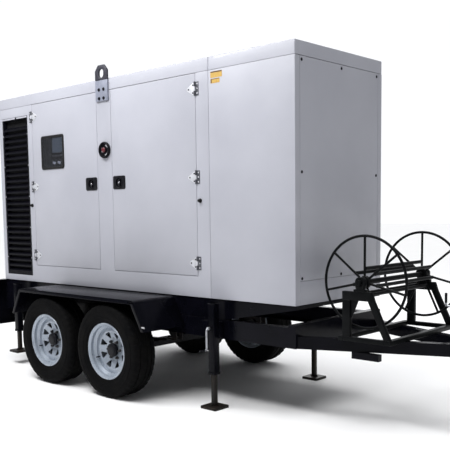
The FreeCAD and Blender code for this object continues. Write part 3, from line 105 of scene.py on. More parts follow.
class Shape:
    """A mesh under construction."""

    def __init__(self):
        self.bm = bmesh.new()

    def loops(self, rings, capped=True, closed=False):
        """Skins a run of rings that all have the same number of points."""
        made = [[self.bm.verts.new(point) for point in ring] for ring in rings]
        pairs = list(zip(made, made[1:])) + ([(made[-1], made[0])] if closed else [])
        for first, second in pairs:
            for i in range(len(first)):
                j = (i + 1) % len(first)
                self.bm.faces.new((first[i], first[j], second[j], second[i]))
        if capped and not closed:
            self.bm.faces.new(list(reversed(made[0])))
            self.bm.faces.new(made[-1])
        return self

    def prism(self, axis, outline, low, high):
        return self.loops([[spot(axis, u, v, w) for u, v in outline] for w in (low, high)])

    def plate(self, axis, rect, corner, low, high, steps=4):
        """A flat plate with rounded corners across an axis, from its (u0, v0, u1, v1)."""
        return self.prism(axis, rounded(rectangle(*rect), corner, steps), low, high)

    def box(self, low, high):
        return self.prism("z", rectangle(low[0], low[1], high[0], high[1]), low[2], high[2])

    def lathe(self, axis, centre, profile, segments=48, closed=False, wave=None, way=1):
        """Turns a profile of (radius, distance along the axis) round a line; way flips it."""
        rings = []
        iu, iv, iw = DRAWN_ON[axis]
        for k in range(segments):
            angle = math.tau * k / segments
            ring = []
            for n, (radius, along) in enumerate(profile):
                radius += wave(n, k) if wave else 0
                ring.append(spot(axis, centre[iu] + radius * math.cos(angle),
                                 centre[iv] + radius * math.sin(angle), centre[iw] + along * way))
            rings.append(ring)
        count = len(profile)
        made = [[self.bm.verts.new(point) for point in ring] for ring in rings]
        for k in range(segments):
            for i in range(count if closed else count - 1):
                j = (i + 1) % count
                following = made[(k + 1) % segments]
                self.bm.faces.new((made[k][i], made[k][j], following[j], following[i]))
        if not closed:
            bmesh.ops.remove_doubles(self.bm, verts=self.bm.verts, dist=1e-6)
        return self

    def rod(self, start, end, radius, segments=24, chamfer=0.001):
        """A round bar with small chamfers at its ends."""
        start, end = Vector(start), Vector(end)
        along = (end - start).normalized()
        side = along.orthogonal().normalized()
        other = along.cross(side)
        rings = []
        length = (end - start).length
        for r, w in ((radius - chamfer, 0), (radius, chamfer), (radius, length - chamfer),
                     (radius - chamfer, length)):
            rings.append([start + along * w + side * r * math.cos(math.tau * k / segments)
                          + other * r * math.sin(math.tau * k / segments) for k in range(segments)])
        return self.loops(rings)

    def tube(self, points, radius, bend=0.0, segments=16):
        """A round bar along straight runs, with its corners bent to a radius."""
        path = [Vector(points[0])]
        for before, here, after in zip(points, points[1:], points[2:]):
            here = Vector(here)
            back = (Vector(before) - here).normalized() * bend
            on = (Vector(after) - here).normalized() * bend
            for k in range(7):
                t = k / 6
                path.append(here + back * (1 - t) ** 2 + on * t ** 2)
        path.append(Vector(points[-1]))
        side = (path[1] - path[0]).orthogonal().normalized()
        rings = []
        for i, point in enumerate(path):
            along = (path[min(i + 1, len(path) - 1)] - path[max(i - 1, 0)]).normalized()
            side = (side - along * side.dot(along)).normalized()
            other = along.cross(side)
            rings.append([point + side * radius * math.cos(math.tau * k / segments)
                          + other * radius * math.sin(math.tau * k / segments)
                          for k in range(segments)])
        return self.loops(rings)

    def torus(self, axis, centre, major, minor, segments=96, around=16):
        profile = [(major + minor * math.cos(math.tau * k / around),
                    minor * math.sin(math.tau * k / around)) for k in range(around)]
        return self.lathe(axis, centre, profile, segments, closed=True)

    def pan(self, axis, rect, face, inward, depth, wall=0.0025, fold=0.003, lip=0.0, corner=0.002):
        """A folded sheet-metal tray: a face with rounded folds, returns and an inturned lip."""
        steps = 3
        profile = [(fold * (1 - math.sin(math.pi / 2 * k / steps)),
                    fold * (1 - math.cos(math.pi / 2 * k / steps))) for k in range(steps + 1)]
        profile += [(0, depth)]
        profile += [(lip, depth), (lip, depth - wall)] if lip else []
        profile += [(wall, depth - (wall if lip else 0)), (wall, wall)]
        u0, v0, u1, v1 = rect
        rings = []
        for inset, down in profile:
            outline = rounded(rectangle(u0 + inset, v0 + inset, u1 - inset, v1 - inset),
                              max(corner, fold) + 0.001, 3)
            rings.append([spot(axis, u, v, face + inward * down) for u, v in outline])
        return self.loops(rings)

    def grid(self, axis, us, vs, holes, low, high):
        """A plate cut into cells by us and vs, without the cells that holes names."""
        verts = {}

        def vert(i, j, w):
            if (i, j, w) not in verts:
                verts[i, j, w] = self.bm.verts.new(spot(axis, us[i], vs[j], w))
            return verts[i, j, w]

        cells = {(i, j) for i in range(len(us) - 1) for j in range(len(vs) - 1)} - set(holes)
        for i, j in cells:
            corners = [(i, j), (i + 1, j), (i + 1, j + 1), (i, j + 1)]
            for w in (low, high):
                self.bm.faces.new([vert(a, b, w) for a, b in corners])
            beyond = [(i, j - 1), (i + 1, j), (i, j + 1), (i - 1, j)]
            for side, neighbour in enumerate(beyond):
                if neighbour not in cells:
                    a, b = corners[side], corners[(side + 1) % 4]
                    self.bm.faces.new((vert(*a, low), vert(*b, low), vert(*b, high), vert(*a, high)))
        return self

    def screw(self, centre, axis, way, radius, height, sides=0):
        """A fastener's head on a face: domed if sides is 0, else that many sides."""
        centre = Vector(centre)
        iw = DRAWN_ON[axis][2]
        if sides:
            outline = [(radius * math.cos(math.tau * (k + 0.5) / sides),
                        radius * math.sin(math.tau * (k + 0.5) / sides)) for k in range(sides)]
            rings = []
            for scale, up in ((1.0, 0), (1.0, height * 0.8), (0.88, height)):
                rings.append([spot(axis, centre[DRAWN_ON[axis][0]] + u * scale,
                                   centre[DRAWN_ON[axis][1]] + v * scale, centre[iw] + way * up)
                              for u, v in outline])
            return self.loops(rings)
        profile = [(0, 0), (radius, 0), (radius, height * 0.35), (radius * 0.86, height * 0.75),
                   (radius * 0.5, height), (radius * 0.28, height), (radius * 0.28, height * 0.4),
                   (0, height * 0.4)]
        return self.lathe(axis, centre, profile, 20, way=way)

    def object(self, name):
        bmesh.ops.recalc_face_normals(self.bm, faces=self.bm.faces)
        mesh = bpy.data.meshes.new(name)
        self.bm.to_mesh(mesh)
        obj = bpy.data.objects.new(name, mesh)
        bpy.context.scene.collection.objects.link(obj)
        return obj

    def add(self, other):
        """Takes in another shape's mesh."""
        mesh = bpy.data.meshes.new("scratch")
        bmesh.ops.recalc_face_normals(other.bm, faces=other.bm.faces)
        other.bm.to_mesh(mesh)
        self.bm.from_mesh(mesh)
        return self

    def carve(self, cutter):
        """Takes the cutter's solids out of this shape."""
        target = self.object("carve_target")
        tool = cutter.object("carve_tool")
        change = target.modifiers.new("carve", "BOOLEAN")
        change.operation = "DIFFERENCE"
        change.solver = "EXACT"
        change.object = tool
        bpy.context.view_layer.update()
        result = target.evaluated_get(bpy.context.evaluated_depsgraph_get()).to_mesh()
        self.bm = bmesh.new()
        self.bm.from_mesh(result)
        for used in (target, tool):
            mesh = used.data
            bpy.data.objects.remove(used)
            bpy.data.meshes.remove(mesh)
        return self

    def bevel(self, width, segments=2, angle=32):
        """Rounds every edge sharper than the angle."""
        self.bm.normal_update()
        limit = math.radians(angle)
        sharp = [edge for edge in self.bm.edges
                 if len(edge.link_faces) == 2 and edge.calc_face_angle(0) > limit]
        bmesh.ops.bevel(self.bm, geom=sharp, offset=width, segments=segments, profile=0.5,
                        affect="EDGES", clamp_overlap=True)
        return self

    def piece(self, name, body, surface, slot, replaces=(), smooth=38):
        """Finishes the mesh as a visible piece that rides on a body."""
        obj = self.object(name)
        mesh = obj.data
        mesh.polygons.foreach_set("use_smooth", [True] * len(mesh.polygons))
        mesh.set_sharp_from_angle(angle=math.radians(smooth))
        mesh.materials.append(surface)
        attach(obj, body)
        if replaces:
            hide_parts(*replaces)
        return obj


# ---------------------------------------------------------------- materials

def material(name, colour, roughness, metallic=0.0, second=None, blotch=3.0, grain=600.0, bump=0.1,
             depth=0.0004, stretch=(1, 1, 1), spread=0.08, coat=0.0, dust_and_glare=0.0, specular=0.5,
             transmission=0.0, glow=0.0):
    """A surface with blotches of a second colour, uneven gloss, fine grain, and upward faces lightened
    partly by settled dust and partly by a painted glare.
    """
    surface = bpy.data.materials.new(name)
    surface.use_nodes = True
    nodes, links = surface.node_tree.nodes, surface.node_tree.links
    shader = nodes["Principled BSDF"]
    shader.inputs["Metallic"].default_value = metallic
    shader.inputs["Coat Weight"].default_value = coat
    shader.inputs["Coat Roughness"].default_value = 0.06
    shader.inputs["Specular IOR Level"].default_value = specular
    shader.inputs["Transmission Weight"].default_value = transmission
    if glow:
        shader.inputs["Emission Color"].default_value = (*colour, 1)
        shader.inputs["Emission Strength"].default_value = glow
    coords = nodes.new("ShaderNodeTexCoord")
    mapping = nodes.new("ShaderNodeMapping")
    mapping.inputs["Scale"].default_value = stretch
    links.new(coords.outputs["Object"], mapping.inputs["Vector"])

    def noise(scale, detail):
        node = nodes.new("ShaderNodeTexNoise")
        node.inputs["Scale"].default_value = scale
        node.inputs["Detail"].default_value = detail
        links.new(mapping.outputs["Vector"], node.inputs["Vector"])
        return node.outputs["Fac"]

    def remap(value, low, high, to_low, to_high):
        node = nodes.new("ShaderNodeMapRange")
        for socket, number in zip(("From Min", "From Max", "To Min", "To Max"),
                                  (low, high, to_low, to_high)):
            node.inputs[socket].default_value = number
        links.new(value, node.inputs["Value"])
        return node.outputs["Result"]

    def blend(factor, first, other):
        node = nodes.new("ShaderNodeMix")
        node.data_type = "RGBA"
        links.new(factor, node.inputs["Factor"])
        for socket, shade in ((node.inputs[6], first), (node.inputs[7], other)):
            if isinstance(shade, tuple):
                socket.default_value = (*shade, 1)
            else:
                links.new(shade, socket)
        return node.outputs[2]

    second = second or tuple(c * 0.82 for c in colour)
    base = blend(remap(noise(blotch, 7), 0.35, 0.68, 0, 1), colour, second)
    gloss = remap(noise(blotch * 5, 4), 0.3, 0.7, roughness - spread, roughness + spread)
    # Upward faces drift towards a grey: partly settled dust, partly a painted glare that stands in for the
    # sky reflected on glossy tops.
    if dust_and_glare:
        upward = nodes.new("ShaderNodeSeparateXYZ")
        links.new(coords.outputs["Normal"], upward.inputs["Vector"])
        dust_and_glare_share = nodes.new("ShaderNodeMath")
        dust_and_glare_share.operation = "MULTIPLY"
        links.new(remap(upward.outputs["Z"], 0.3, 1.0, 0, dust_and_glare), dust_and_glare_share.inputs[0])
        links.new(remap(noise(blotch * 3, 8), 0.3, 0.7, 0.45, 1), dust_and_glare_share.inputs[1])
        base = blend(dust_and_glare_share.outputs[0], base, (0.34, 0.33, 0.34))
    links.new(base, shader.inputs["Base Color"])
    links.new(gloss, shader.inputs["Roughness"])
    relief = nodes.new("ShaderNodeBump")
    relief.inputs["Strength"].default_value = bump
    relief.inputs["Distance"].default_value = depth
    links.new(noise(grain, 3), relief.inputs["Height"])
    links.new(relief.outputs["Normal"], shader.inputs["Normal"])
    return surface


CANOPY = material("canopy_paint", (0.405, 0.412, 0.460), 0.36, second=(0.362, 0.368, 0.415), blotch=1.6,
                  grain=420, bump=0.12, coat=0.2, specular=0.4)
# The chassis and reel paints lighten a little on upward faces: dust, with a painted glare.
CHASSIS = material("chassis_paint", (0.0016, 0.0018, 0.0034), 0.20, second=(0.0030, 0.0030, 0.0056),
                   blotch=5, grain=260, bump=0.05, dust_and_glare=0.03, specular=0.07, spread=0.05)
REEL = material("reel_paint", (0.0024, 0.0029, 0.0034), 0.40, second=(0.005, 0.0056, 0.0062), blotch=9,
                grain=330, bump=0.15, dust_and_glare=0.03, specular=0.07)
ZINC = material("zinc_plate", (0.52, 0.53, 0.56), 0.34, metallic=0.85, second=(0.33, 0.34, 0.37),
                blotch=40, grain=900, bump=0.1)
LUG = material("lug_paint", (0.25, 0.265, 0.33), 0.42, metallic=0.1, second=(0.19, 0.205, 0.26),
               blotch=25, grain=500, bump=0.2)
LUG_EYE = material("lug_eye_steel", (0.040, 0.040, 0.055), 0.5, metallic=0.3, second=(0.02, 0.02, 0.03),
                   blotch=30, grain=350, bump=0.5)
BARE = material("bare_steel", (0.010, 0.0095, 0.009), 0.48, metallic=0.25, second=(0.018, 0.012, 0.0085),
                blotch=22, grain=300, bump=0.35, stretch=(1, 1, 0.25), specular=0.25)
FORGED = material("forged_steel", (0.06, 0.06, 0.064), 0.5, metallic=0.7, second=(0.03, 0.028, 0.028),
                  blotch=16, grain=240, bump=0.5)
LEAF = material("bright_zinc", (0.66, 0.67, 0.71), 0.42, metallic=0.35, second=(0.54, 0.55, 0.59),
                blotch=45, grain=900, bump=0.1)
# A darker copy of the hinge zinc: its darkness is painted shade and a painted dark reflection on the
# frame-side leaves and knuckles.
SHADED_ZINC = material("zinc_with_painted_shade", (0.115, 0.118, 0.135), 0.42, metallic=0.55,
                   second=(0.075, 0.078, 0.092), blotch=45, grain=700, bump=0.2)
NUTS = material("nut_steel", (0.030, 0.030, 0.034), 0.42, metallic=0.3, second=(0.05, 0.046, 0.044),
                blotch=40, grain=600, bump=0.3)
SPRING = material("spring_steel", (0.012, 0.012, 0.014), 0.48, metallic=0.4, second=(0.022, 0.016, 0.013),
                  blotch=14, grain=260, bump=0.35, specular=0.2)
LOUVRE = material("louvre_black", (0.0020, 0.0020, 0.0038), 0.42, second=(0.0036, 0.0036, 0.0068),
                  blotch=4, grain=500, bump=0.12, specular=0.12)
PLASTIC = material("black_plastic", (0.0036, 0.0036, 0.0058), 0.40, second=(0.0068, 0.0068, 0.0095),
                   blotch=30, grain=1400, bump=0.22, specular=0.16)
RUBBER = material("rubber_seal", (0.006, 0.006, 0.007), 0.62, second=(0.011, 0.011, 0.011), blotch=30,
                  grain=900, bump=0.3, specular=0.2)
CHROME = material("bright_metal", (0.78, 0.78, 0.82), 0.2, metallic=1.0, second=(0.62, 0.62, 0.68),
                  blotch=60, grain=900, bump=0.05, spread=0.05)
RED = material("red_plastic", (0.13, 0.010, 0.018), 0.32, second=(0.09, 0.007, 0.012), blotch=40,
               grain=900, bump=0.08, coat=0.3)
LENS = material("red_lens", (0.36, 0.008, 0.010), 0.14, second=(0.26, 0.006, 0.008), blotch=30,
                grain=160, bump=0.5, depth=0.001, coat=0.6)
AMBER = material("amber_lens", (0.62, 0.20, 0.015), 0.16, second=(0.5, 0.14, 0.01), blotch=30,
                 grain=160, bump=0.5, depth=0.001, coat=0.5)
GLASS = material("tinted_glass", (0.22, 0.23, 0.27), 0.03, second=(0.19, 0.20, 0.24), blotch=4,
                 grain=40, bump=0.01, spread=0.02, transmission=0.95)
YELLOW = material("yellow_film", (0.52, 0.34, 0.085), 0.4, second=(0.43, 0.26, 0.06), blotch=60,
                  grain=700, bump=0.08)
BROWN = material("dark_film", (0.05, 0.022, 0.015), 0.4, second=(0.08, 0.04, 0.02), blotch=60,
                 grain=700, bump=0.08)
PALE = material("pale_marks", (0.55, 0.55, 0.58), 0.4, second=(0.45, 0.45, 0.48), blotch=60, grain=700,
                bump=0.05)
RIM = material("rim_paint", (0.33, 0.37, 0.43), 0.32, metallic=0.25, second=(0.28, 0.32, 0.38),
               blotch=12, grain=420, bump=0.02, coat=0.25)
TYRE = material("tyre_rubber", (0.0025, 0.0026, 0.0031), 0.72, second=(0.0046, 0.0044, 0.0044),
                blotch=10, grain=420, bump=0.4, depth=0.0006, specular=0.05)
CABINET = material("cabinet_paint", (0.050, 0.052, 0.058), 0.45, second=(0.040, 0.042, 0.047), blotch=6,
                   grain=500, bump=0.15)
ENGINE = material("engine_paint", (0.05, 0.12, 0.06), 0.45, second=(0.035, 0.08, 0.045), blotch=9,
                  grain=180, bump=0.45, depth=0.001)
CASTING = material("cast_grey", (0.16, 0.17, 0.18), 0.5, metallic=0.3, second=(0.11, 0.12, 0.13),
                   blotch=12, grain=170, bump=0.5, depth=0.001)
SILENCER = material("silencer_steel", (0.33, 0.32, 0.30), 0.5, metallic=0.8,
                    second=(0.22, 0.18, 0.14), blotch=7, grain=300, bump=0.3)
FINS = material("radiator_fins", (0.20, 0.21, 0.22), 0.5, metallic=0.6, second=(0.14, 0.15, 0.16),
                blotch=3, grain=420, bump=0.6, stretch=(1, 1, 12))
FOAM = material("acoustic_foam", (0.006, 0.006, 0.007), 0.9, second=(0.012, 0.012, 0.013), blotch=14,
                grain=70, bump=0.8, depth=0.004, specular=0.08)
SCREEN = material("display", (0.16, 0.20, 0.24), 0.25, second=(0.13, 0.17, 0.20), blotch=30,
                  grain=900, bump=0.02, glow=1.3)
# The lenses glow: painted light that stands in for the light falling on these pale lenses behind the shaded
# window.
LAMP_PAINTED_GLOW = material("lamp_lens_painted_glow", (0.60, 0.62, 0.66), 0.3, second=(0.52, 0.54, 0.58), blotch=60, grain=400,
                bump=0.1, glow=1.4)
FLOOR = material("studio_floor", (0.935, 0.935, 0.94), 0.8, second=(0.92, 0.92, 0.925), blotch=0.4,
                 grain=60, bump=0.03, specular=0.1)


def repaint(surface, *nodes):
    """Gives CAD nodes a better material."""
    for node in nodes:
        slots = frame["nodes"][node].material_slots
        if not slots:
            frame["nodes"][node].data.materials.append(surface)
        for socket in slots:
            socket.material = surface


# ---------------------------------------------------------------- canopy

def door_span(end, side_name):
    """A door pan's X range: from just beside its hinge pin to the far edge of its box."""
    low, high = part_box(f"door_{end}_{side_name}")
    pin = JOINTS[f"door_swing_{end}_{side_name}"]["pos_m"][0]
    return (pin + GAP, high[0]) if end == "rear" else (low[0], pin - GAP)


DOOR_LOW, DOOR_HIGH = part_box("door_front_right")[0][2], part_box("door_front_right")[1][2]


def canopy():
    sheet = 0.020
    grille_low, grille_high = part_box("side_louvres")
    rear_door = door_span("rear", "right")
    front_door = door_span("front", "right")
    xs = [REAR, grille_low[0] - 0.001, grille_high[0] + 0.001, rear_door[0] - GAP,
          rear_door[1] + GAP, front_door[0] - GAP, front_door[1] + GAP, ROOF_JOINT - 0.001]
    zs = [BOTTOM, grille_low[2] - 0.001, DOOR_LOW - GAP, grille_high[2] + 0.001, EAVES - 0.0015]
    louvre_cells = [(1, 1), (1, 2)]
    door_cells = [(column, row) for column in (3, 5) for row in (2, 3)]
    skin = Shape()
    for side in SIDES.values():
        skin.grid("y", xs, zs, louvre_cells + door_cells, side * (HALF - sheet), side * HALF)
        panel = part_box("front_panel")[1][1] + 0.002
        corner = [(FRONT, panel * side), (FRONT, HALF * side), (ROOF_JOINT + 0.001, HALF * side),
                  (ROOF_JOINT + 0.001, (HALF - sheet) * side), (FRONT - sheet, (HALF - sheet) * side),
                  (FRONT - sheet, panel * side)]
        skin.prism("z", corner, BOTTOM, EAVES - 0.0015)
    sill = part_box("front_panel")[0][2] - 0.002
    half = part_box("front_panel")[1][1] + 0.0015
    skin.box((FRONT - sheet, -half, BOTTOM), (FRONT, half, sill))
    skin.bevel(0.0026, 3)
    skin.piece("canopy_skin", "chassis", CANOPY, "canopy_paint", ["canopy_frame"])

    roof = Shape()
    for x0, x1 in ((REAR, ROOF_JOINT - 0.001), (ROOF_JOINT + 0.001, FRONT)):
        roof.pan("z", (x0, -HALF, x1, HALF), TOP, -1, TOP - EAVES - 0.0005, fold=0.006, corner=0.006)
    roof.piece("roof_caps", "chassis", CANOPY, "canopy_paint", ["roof_panels"])

    (_, y0, z0), (x1, y1, z1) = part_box("front_panel")
    Shape().pan("x", (y0, z0, y1, z1), x1, -1, 0.018, fold=0.0025).piece(
        "front_cover", "chassis", CANOPY, "canopy_paint", ["front_panel"])
    (x0, y0, z0), (_, y1, z1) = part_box("rear_panel")
    wall = Shape().pan("x", (y0 + 0.001, z0, y1 - 0.001, z1 - 0.001), x0, 1, 0.018, fold=0.003)
    wall.piece("rear_wall", "chassis", CANOPY, "canopy_paint", ["rear_panel"])


def front_screws():
    """Recessed-head screws with washers."""
    (_, y0, z0), (x1, y1, z1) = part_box("front_panel")
    inset = 0.019
    rows = ((z1 - inset - 0.006, 3), ((z0 + z1) / 2 - 0.013, 2), (z0 + inset - 0.002, 3))
    screws = Shape()
    for z, count in rows:
        for k in range(count):
            y = y0 + inset + (y1 - y0 - 2 * inset) * k / (count - 1)
            washer = [(0.0045, 0), (0.011, 0), (0.011, 0.0012), (0.0045, 0.0012)]
            screws.lathe("x", (x1, y, z), washer, 24, closed=True)
            screws.screw((x1 + 0.001, y, z), "x", 1, 0.0078, 0.0038)
    screws.piece("panel_screws", "chassis", PLASTIC, "zinc_steel", ["fasteners"])


def door_buffers():
    """Rubber buffers beside the hinges, which the open doors rest on."""
    buffers = Shape()
    for side in SIDES.values():
        for end, way in (("rear", -1), ("front", 1)):
            pin = JOINTS[f"door_swing_{end}_right"]["pos_m"][0]
            section = [(0, 0), (0.016, 0), (0.016, 0.004), (0.0135, 0.006), (0.0125, 0.018),
                       (0.010, 0.022), (0.004, 0.023), (0, 0.021)]
            buffers.lathe("y", (pin + 0.035 * way, HALF * side, BUFFER_HEIGHT), section, 28, way=side)
    buffers.piece("door_buffers", "chassis", RUBBER, "black_plastic")


def lifting_lug(name, side):
    low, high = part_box("lifting_lugs")
    middle = (low[0] + high[0]) / 2
    face = HALF * side
    outer = high[1] * side
    fold = TOP - 0.012
    eye = Shape()
    shoulder = 0.045
    outline = [(low[0], fold), (high[0], fold), (high[0], high[2] - shoulder),
               (high[0] - 0.040, high[2]), (low[0] + 0.040, high[2]), (low[0], high[2] - shoulder)]
    eye.prism("y", rounded(outline, 0.006, 2), face, outer)
    hole = rounded(rectangle(middle - 0.031, high[2] - 0.103, middle + 0.031, high[2] - 0.033), 0.03, 8)
    eye.carve(Shape().prism("y", hole, face - 0.02, outer + 0.02)).bevel(0.002, 2)
    eye.piece(f"lug_eye_{name}", "chassis", LUG_EYE, "zinc_steel", ["lifting_lugs"])
    plate = Shape().plate("y", (low[0], low[2], high[0], fold - 0.001), 0.004, face, outer, 2)
    plate.bevel(0.0018, 2)
    plate.piece(f"lug_plate_{name}", "chassis", LUG, "zinc_steel")
    bolts = Shape()
    for dx in (-0.030, 0.030):
        for z in (low[2] + 0.020, low[2] + 0.092):
            bolts.lathe("y", (middle + dx, outer, z),
                        [(0.006, 0), (0.0145, 0), (0.0145, 0.0015 * side), (0.006, 0.0015 * side)],
                        24, closed=True)
            bolts.screw((middle + dx, outer, z), "y", side, 0.0115, 0.0078, 6)
    bolts.piece(f"lug_bolts_{name}", "chassis", PLASTIC, "zinc_steel")


def stickers():
    """Two blank warning films by the roof joint, each with a darker edge."""
    face = -HALF
    films = ((ROOF_JOINT + 0.024, EAVES - 0.060, 0.113, 0.045, 0.009, 0.0),
             (ROOF_JOINT + 0.025, EAVES - 0.098, 0.089, 0.032, 0.005, 0.012))
    for number, (x, z, wide, tall, strip, side_strip) in enumerate(films):
        outline = rounded(rectangle(x, z, x + wide, z + tall), 0.003, 3)
        Shape().prism("y", outline, face, face - 0.0006).bevel(0.0002, 1).piece(
            f"film_{number}", "chassis", YELLOW, "canopy_paint")
        dark = Shape().plate("y", (x + 0.002, z + tall - strip, x + wide - 0.002, z + tall - 0.001),
                             0.001, face, face - 0.0009, 2)
        if side_strip:
            dark.plate("y", (x + 0.002, z + 0.002, x + side_strip, z + tall - strip), 0.001, face,
                       face - 0.0009, 2)
        dark.bevel(0.0002, 1).piece(f"film_edge_{number}", "chassis", BROWN, "canopy_paint")


def louvres():
    """A black grille on each side: frame, lipped slats, rivets, and the pale strip above."""
    low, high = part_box("side_louvres")
    border = 0.022
    pitch = 0.054
    count = int((high[2] - low[2] - 2 * border) / pitch)
    grille = Shape()
    trim = Shape()
    rivets = Shape()
    lining = Shape()
    for side in SIDES.values():
        face = (HALF - 0.002) * side
        us = [low[0], low[0] + border, high[0] - border, high[0]]
        vs = [low[2], low[2] + border, high[2] - border, high[2]]
        grille.grid("y", us, vs, [(1, 1)], face - 0.034 * side, face)
        for k in range(count):
            z = low[2] + border + 0.002 + pitch * k
            y0, y1 = (HALF - 0.004) * side, (HALF - 0.032) * side
            outline = [(y0, z), (y0, z + 0.014), (y0 - 0.0015 * side, z + 0.0145),
                       (y1, z + 0.0365), (y1, z + 0.034), (y0 - 0.0015 * side, z)]
            grille.prism("x", outline, low[0] + border - 0.002, high[0] - border + 0.002)
        for a, b in ((0.005, 0.52), (0.58, 0.985)):
            x0 = low[0] + (high[0] - low[0]) * a
            x1 = low[0] + (high[0] - low[0]) * b
            trim.box((x0, min(face, face + 0.004 * side), high[2] - 0.017),
                     (x1, max(face, face + 0.004 * side), high[2] - 0.003))
        for x in (low[0] + border / 2, high[0] - border / 2):
            for k in range(5):
                z = low[2] + border + (high[2] - low[2] - 2 * border) * (k + 0.5) / 5
                rivets.screw((x, face, z), "y", side, 0.006, 0.002)
        lining.box((low[0] + 0.004, min(side * (HALF - 0.042), side * (HALF - 0.050)), low[2] + 0.004),
                   (high[0] - 0.004, max(side * (HALF - 0.042), side * (HALF - 0.050)),
                    high[2] - 0.004))
    grille.piece("louvre_grilles", "chassis", LOUVRE, "louvre_black", ["side_louvres"])
    trim.bevel(0.001).piece("louvre_trim", "chassis", CANOPY, "canopy_paint")
    rivets.piece("louvre_rivets", "chassis", ZINC, "zinc_steel")
    lining.bevel(0.003).piece("louvre_filter", "chassis", FOAM, "louvre_black")


def emergency_stop():
    low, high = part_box("estop_guard")
    centre = ((low[0] + high[0]) / 2, -HALF, (low[2] + high[2]) / 2)
    radius = (high[0] - low[0]) / 2
    proud = -HALF - low[1]
    profile = [(0.0085, 0), (radius - 0.004, 0), (radius, -0.004), (radius, -proud + 0.008),
               (radius - 0.005, -proud), (radius - 0.010, -proud), (radius - 0.016, -proud + 0.014),
               (radius - 0.018, -0.006), (0.020, -0.006), (0.019, -0.011), (0.0085, -0.011)]
    guard = Shape().lathe("y", centre, profile, 56, closed=True)
    guard.piece("stop_guard", "chassis", PLASTIC, "black_plastic", ["estop_guard"])
    marks = Shape()
    for start, sweep in ((0.5, 0.9), (2.6, 0.9), (4.7, 0.9)):
        steps = 8
        outline = [(centre[0] + r * math.cos(start + sweep * k / steps),
                    centre[2] + r * math.sin(start + sweep * k / steps))
                   for r, order in ((0.045, range(steps + 1)), (0.034, range(steps, -1, -1)))
                   for k in order]
        marks.prism("y", outline, -HALF - 0.006, -HALF - 0.0068)
    marks.piece("stop_marks", "chassis", PALE, "black_plastic")
    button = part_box("estop_button")
    face = button[0][1]
    depth = button[1][1] - face
    cap = (button[1][0] - button[0][0]) / 2
    profile = [(0, 0), (cap * 0.55, 0.0004), (cap * 0.85, 0.0018), (cap * 0.97, 0.0045),
               (cap, 0.008), (cap * 0.96, 0.0115), (0.008, 0.012), (0.008, depth), (0, depth)]
    Shape().lathe("y", (centre[0], face, centre[2]), profile, 40).piece(
        "stop_mushroom", "stop_button", RED, "red_plastic", ["estop_button"])


# ---------------------------------------------------------------- doors

HINGE_HEIGHTS = (1.044, 1.680, 2.320)
LATCH_HEIGHT = JOINTS["latch_turn_front_right"]["pos_m"][2]


def door(end, name, side):
    body = f"door_{end}_{name}"
    x0, x1 = door_span(end, name)
    face = HALF * side
    latch_x = JOINTS[f"latch_turn_{end}_{name}"]["pos_m"][0]
    pan = Shape().pan("y", (x0, DOOR_LOW, x1, DOOR_HIGH), face, -side, 0.038, fold=0.0032, lip=0.016)
    cutter = Shape().prism("y", rectangle(latch_x - 0.0705, LATCH_HEIGHT - 0.048, latch_x + 0.0705,
                                          LATCH_HEIGHT + 0.048), face + 0.01 * side, face - 0.01 * side)
    glazed = body == "door_rear_right"
    if glazed:
        low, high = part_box("window_glass")
        opening = rounded(rectangle(low[0] + 0.010, low[2] + 0.010, high[0] - 0.010, high[2] - 0.010),
                          0.02, 5)
        cutter.prism("y", opening, face + 0.01 * side, face - 0.01 * side)
    pan.carve(cutter)
    pan.piece(f"{body}_pan", body, CANOPY, "canopy_paint", [body])

    lining = Shape()
    us = [x0 + 0.022, x0 + 0.26, x1 - 0.26, x1 - 0.022]
    vs = [DOOR_LOW + 0.025, DOOR_LOW + 0.50, DOOR_HIGH - 0.50, DOOR_HIGH - 0.025]
    if glazed:
        low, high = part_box("window_glass")
        us = [x0 + 0.022, low[0] - 0.005, high[0] + 0.005, latch_x - 0.085, x1 - 0.022]
        vs = [DOOR_LOW + 0.025, LATCH_HEIGHT - 0.08, LATCH_HEIGHT + 0.08, low[2] - 0.005,
              high[2] + 0.005, DOOR_HIGH - 0.025]
        holes = [(1, 3), (3, 1)]
    elif end == "rear":
        us[2] = latch_x - 0.085
        vs[1:3] = [LATCH_HEIGHT - 0.08, LATCH_HEIGHT + 0.08]
        holes = [(2, 1)]
    else:
        us[1] = latch_x + 0.085
        vs[1:3] = [LATCH_HEIGHT - 0.08, LATCH_HEIGHT + 0.08]
        holes = [(0, 1)]
    lining.grid("y", us, vs, holes, (HALF - 0.030) * side, (HALF - 0.004) * side)
    lining.bevel(0.006, 2).piece(f"{body}_lining", body, FOAM, "black_plastic")
    latch(end, name, side, latch_x)
    for number, z in enumerate(HINGE_HEIGHTS):
        hinge(f"{end}_{name}_{number}", body, end, side, z,
              JOINTS[f"door_swing_{end}_{name}"]["pos_m"])


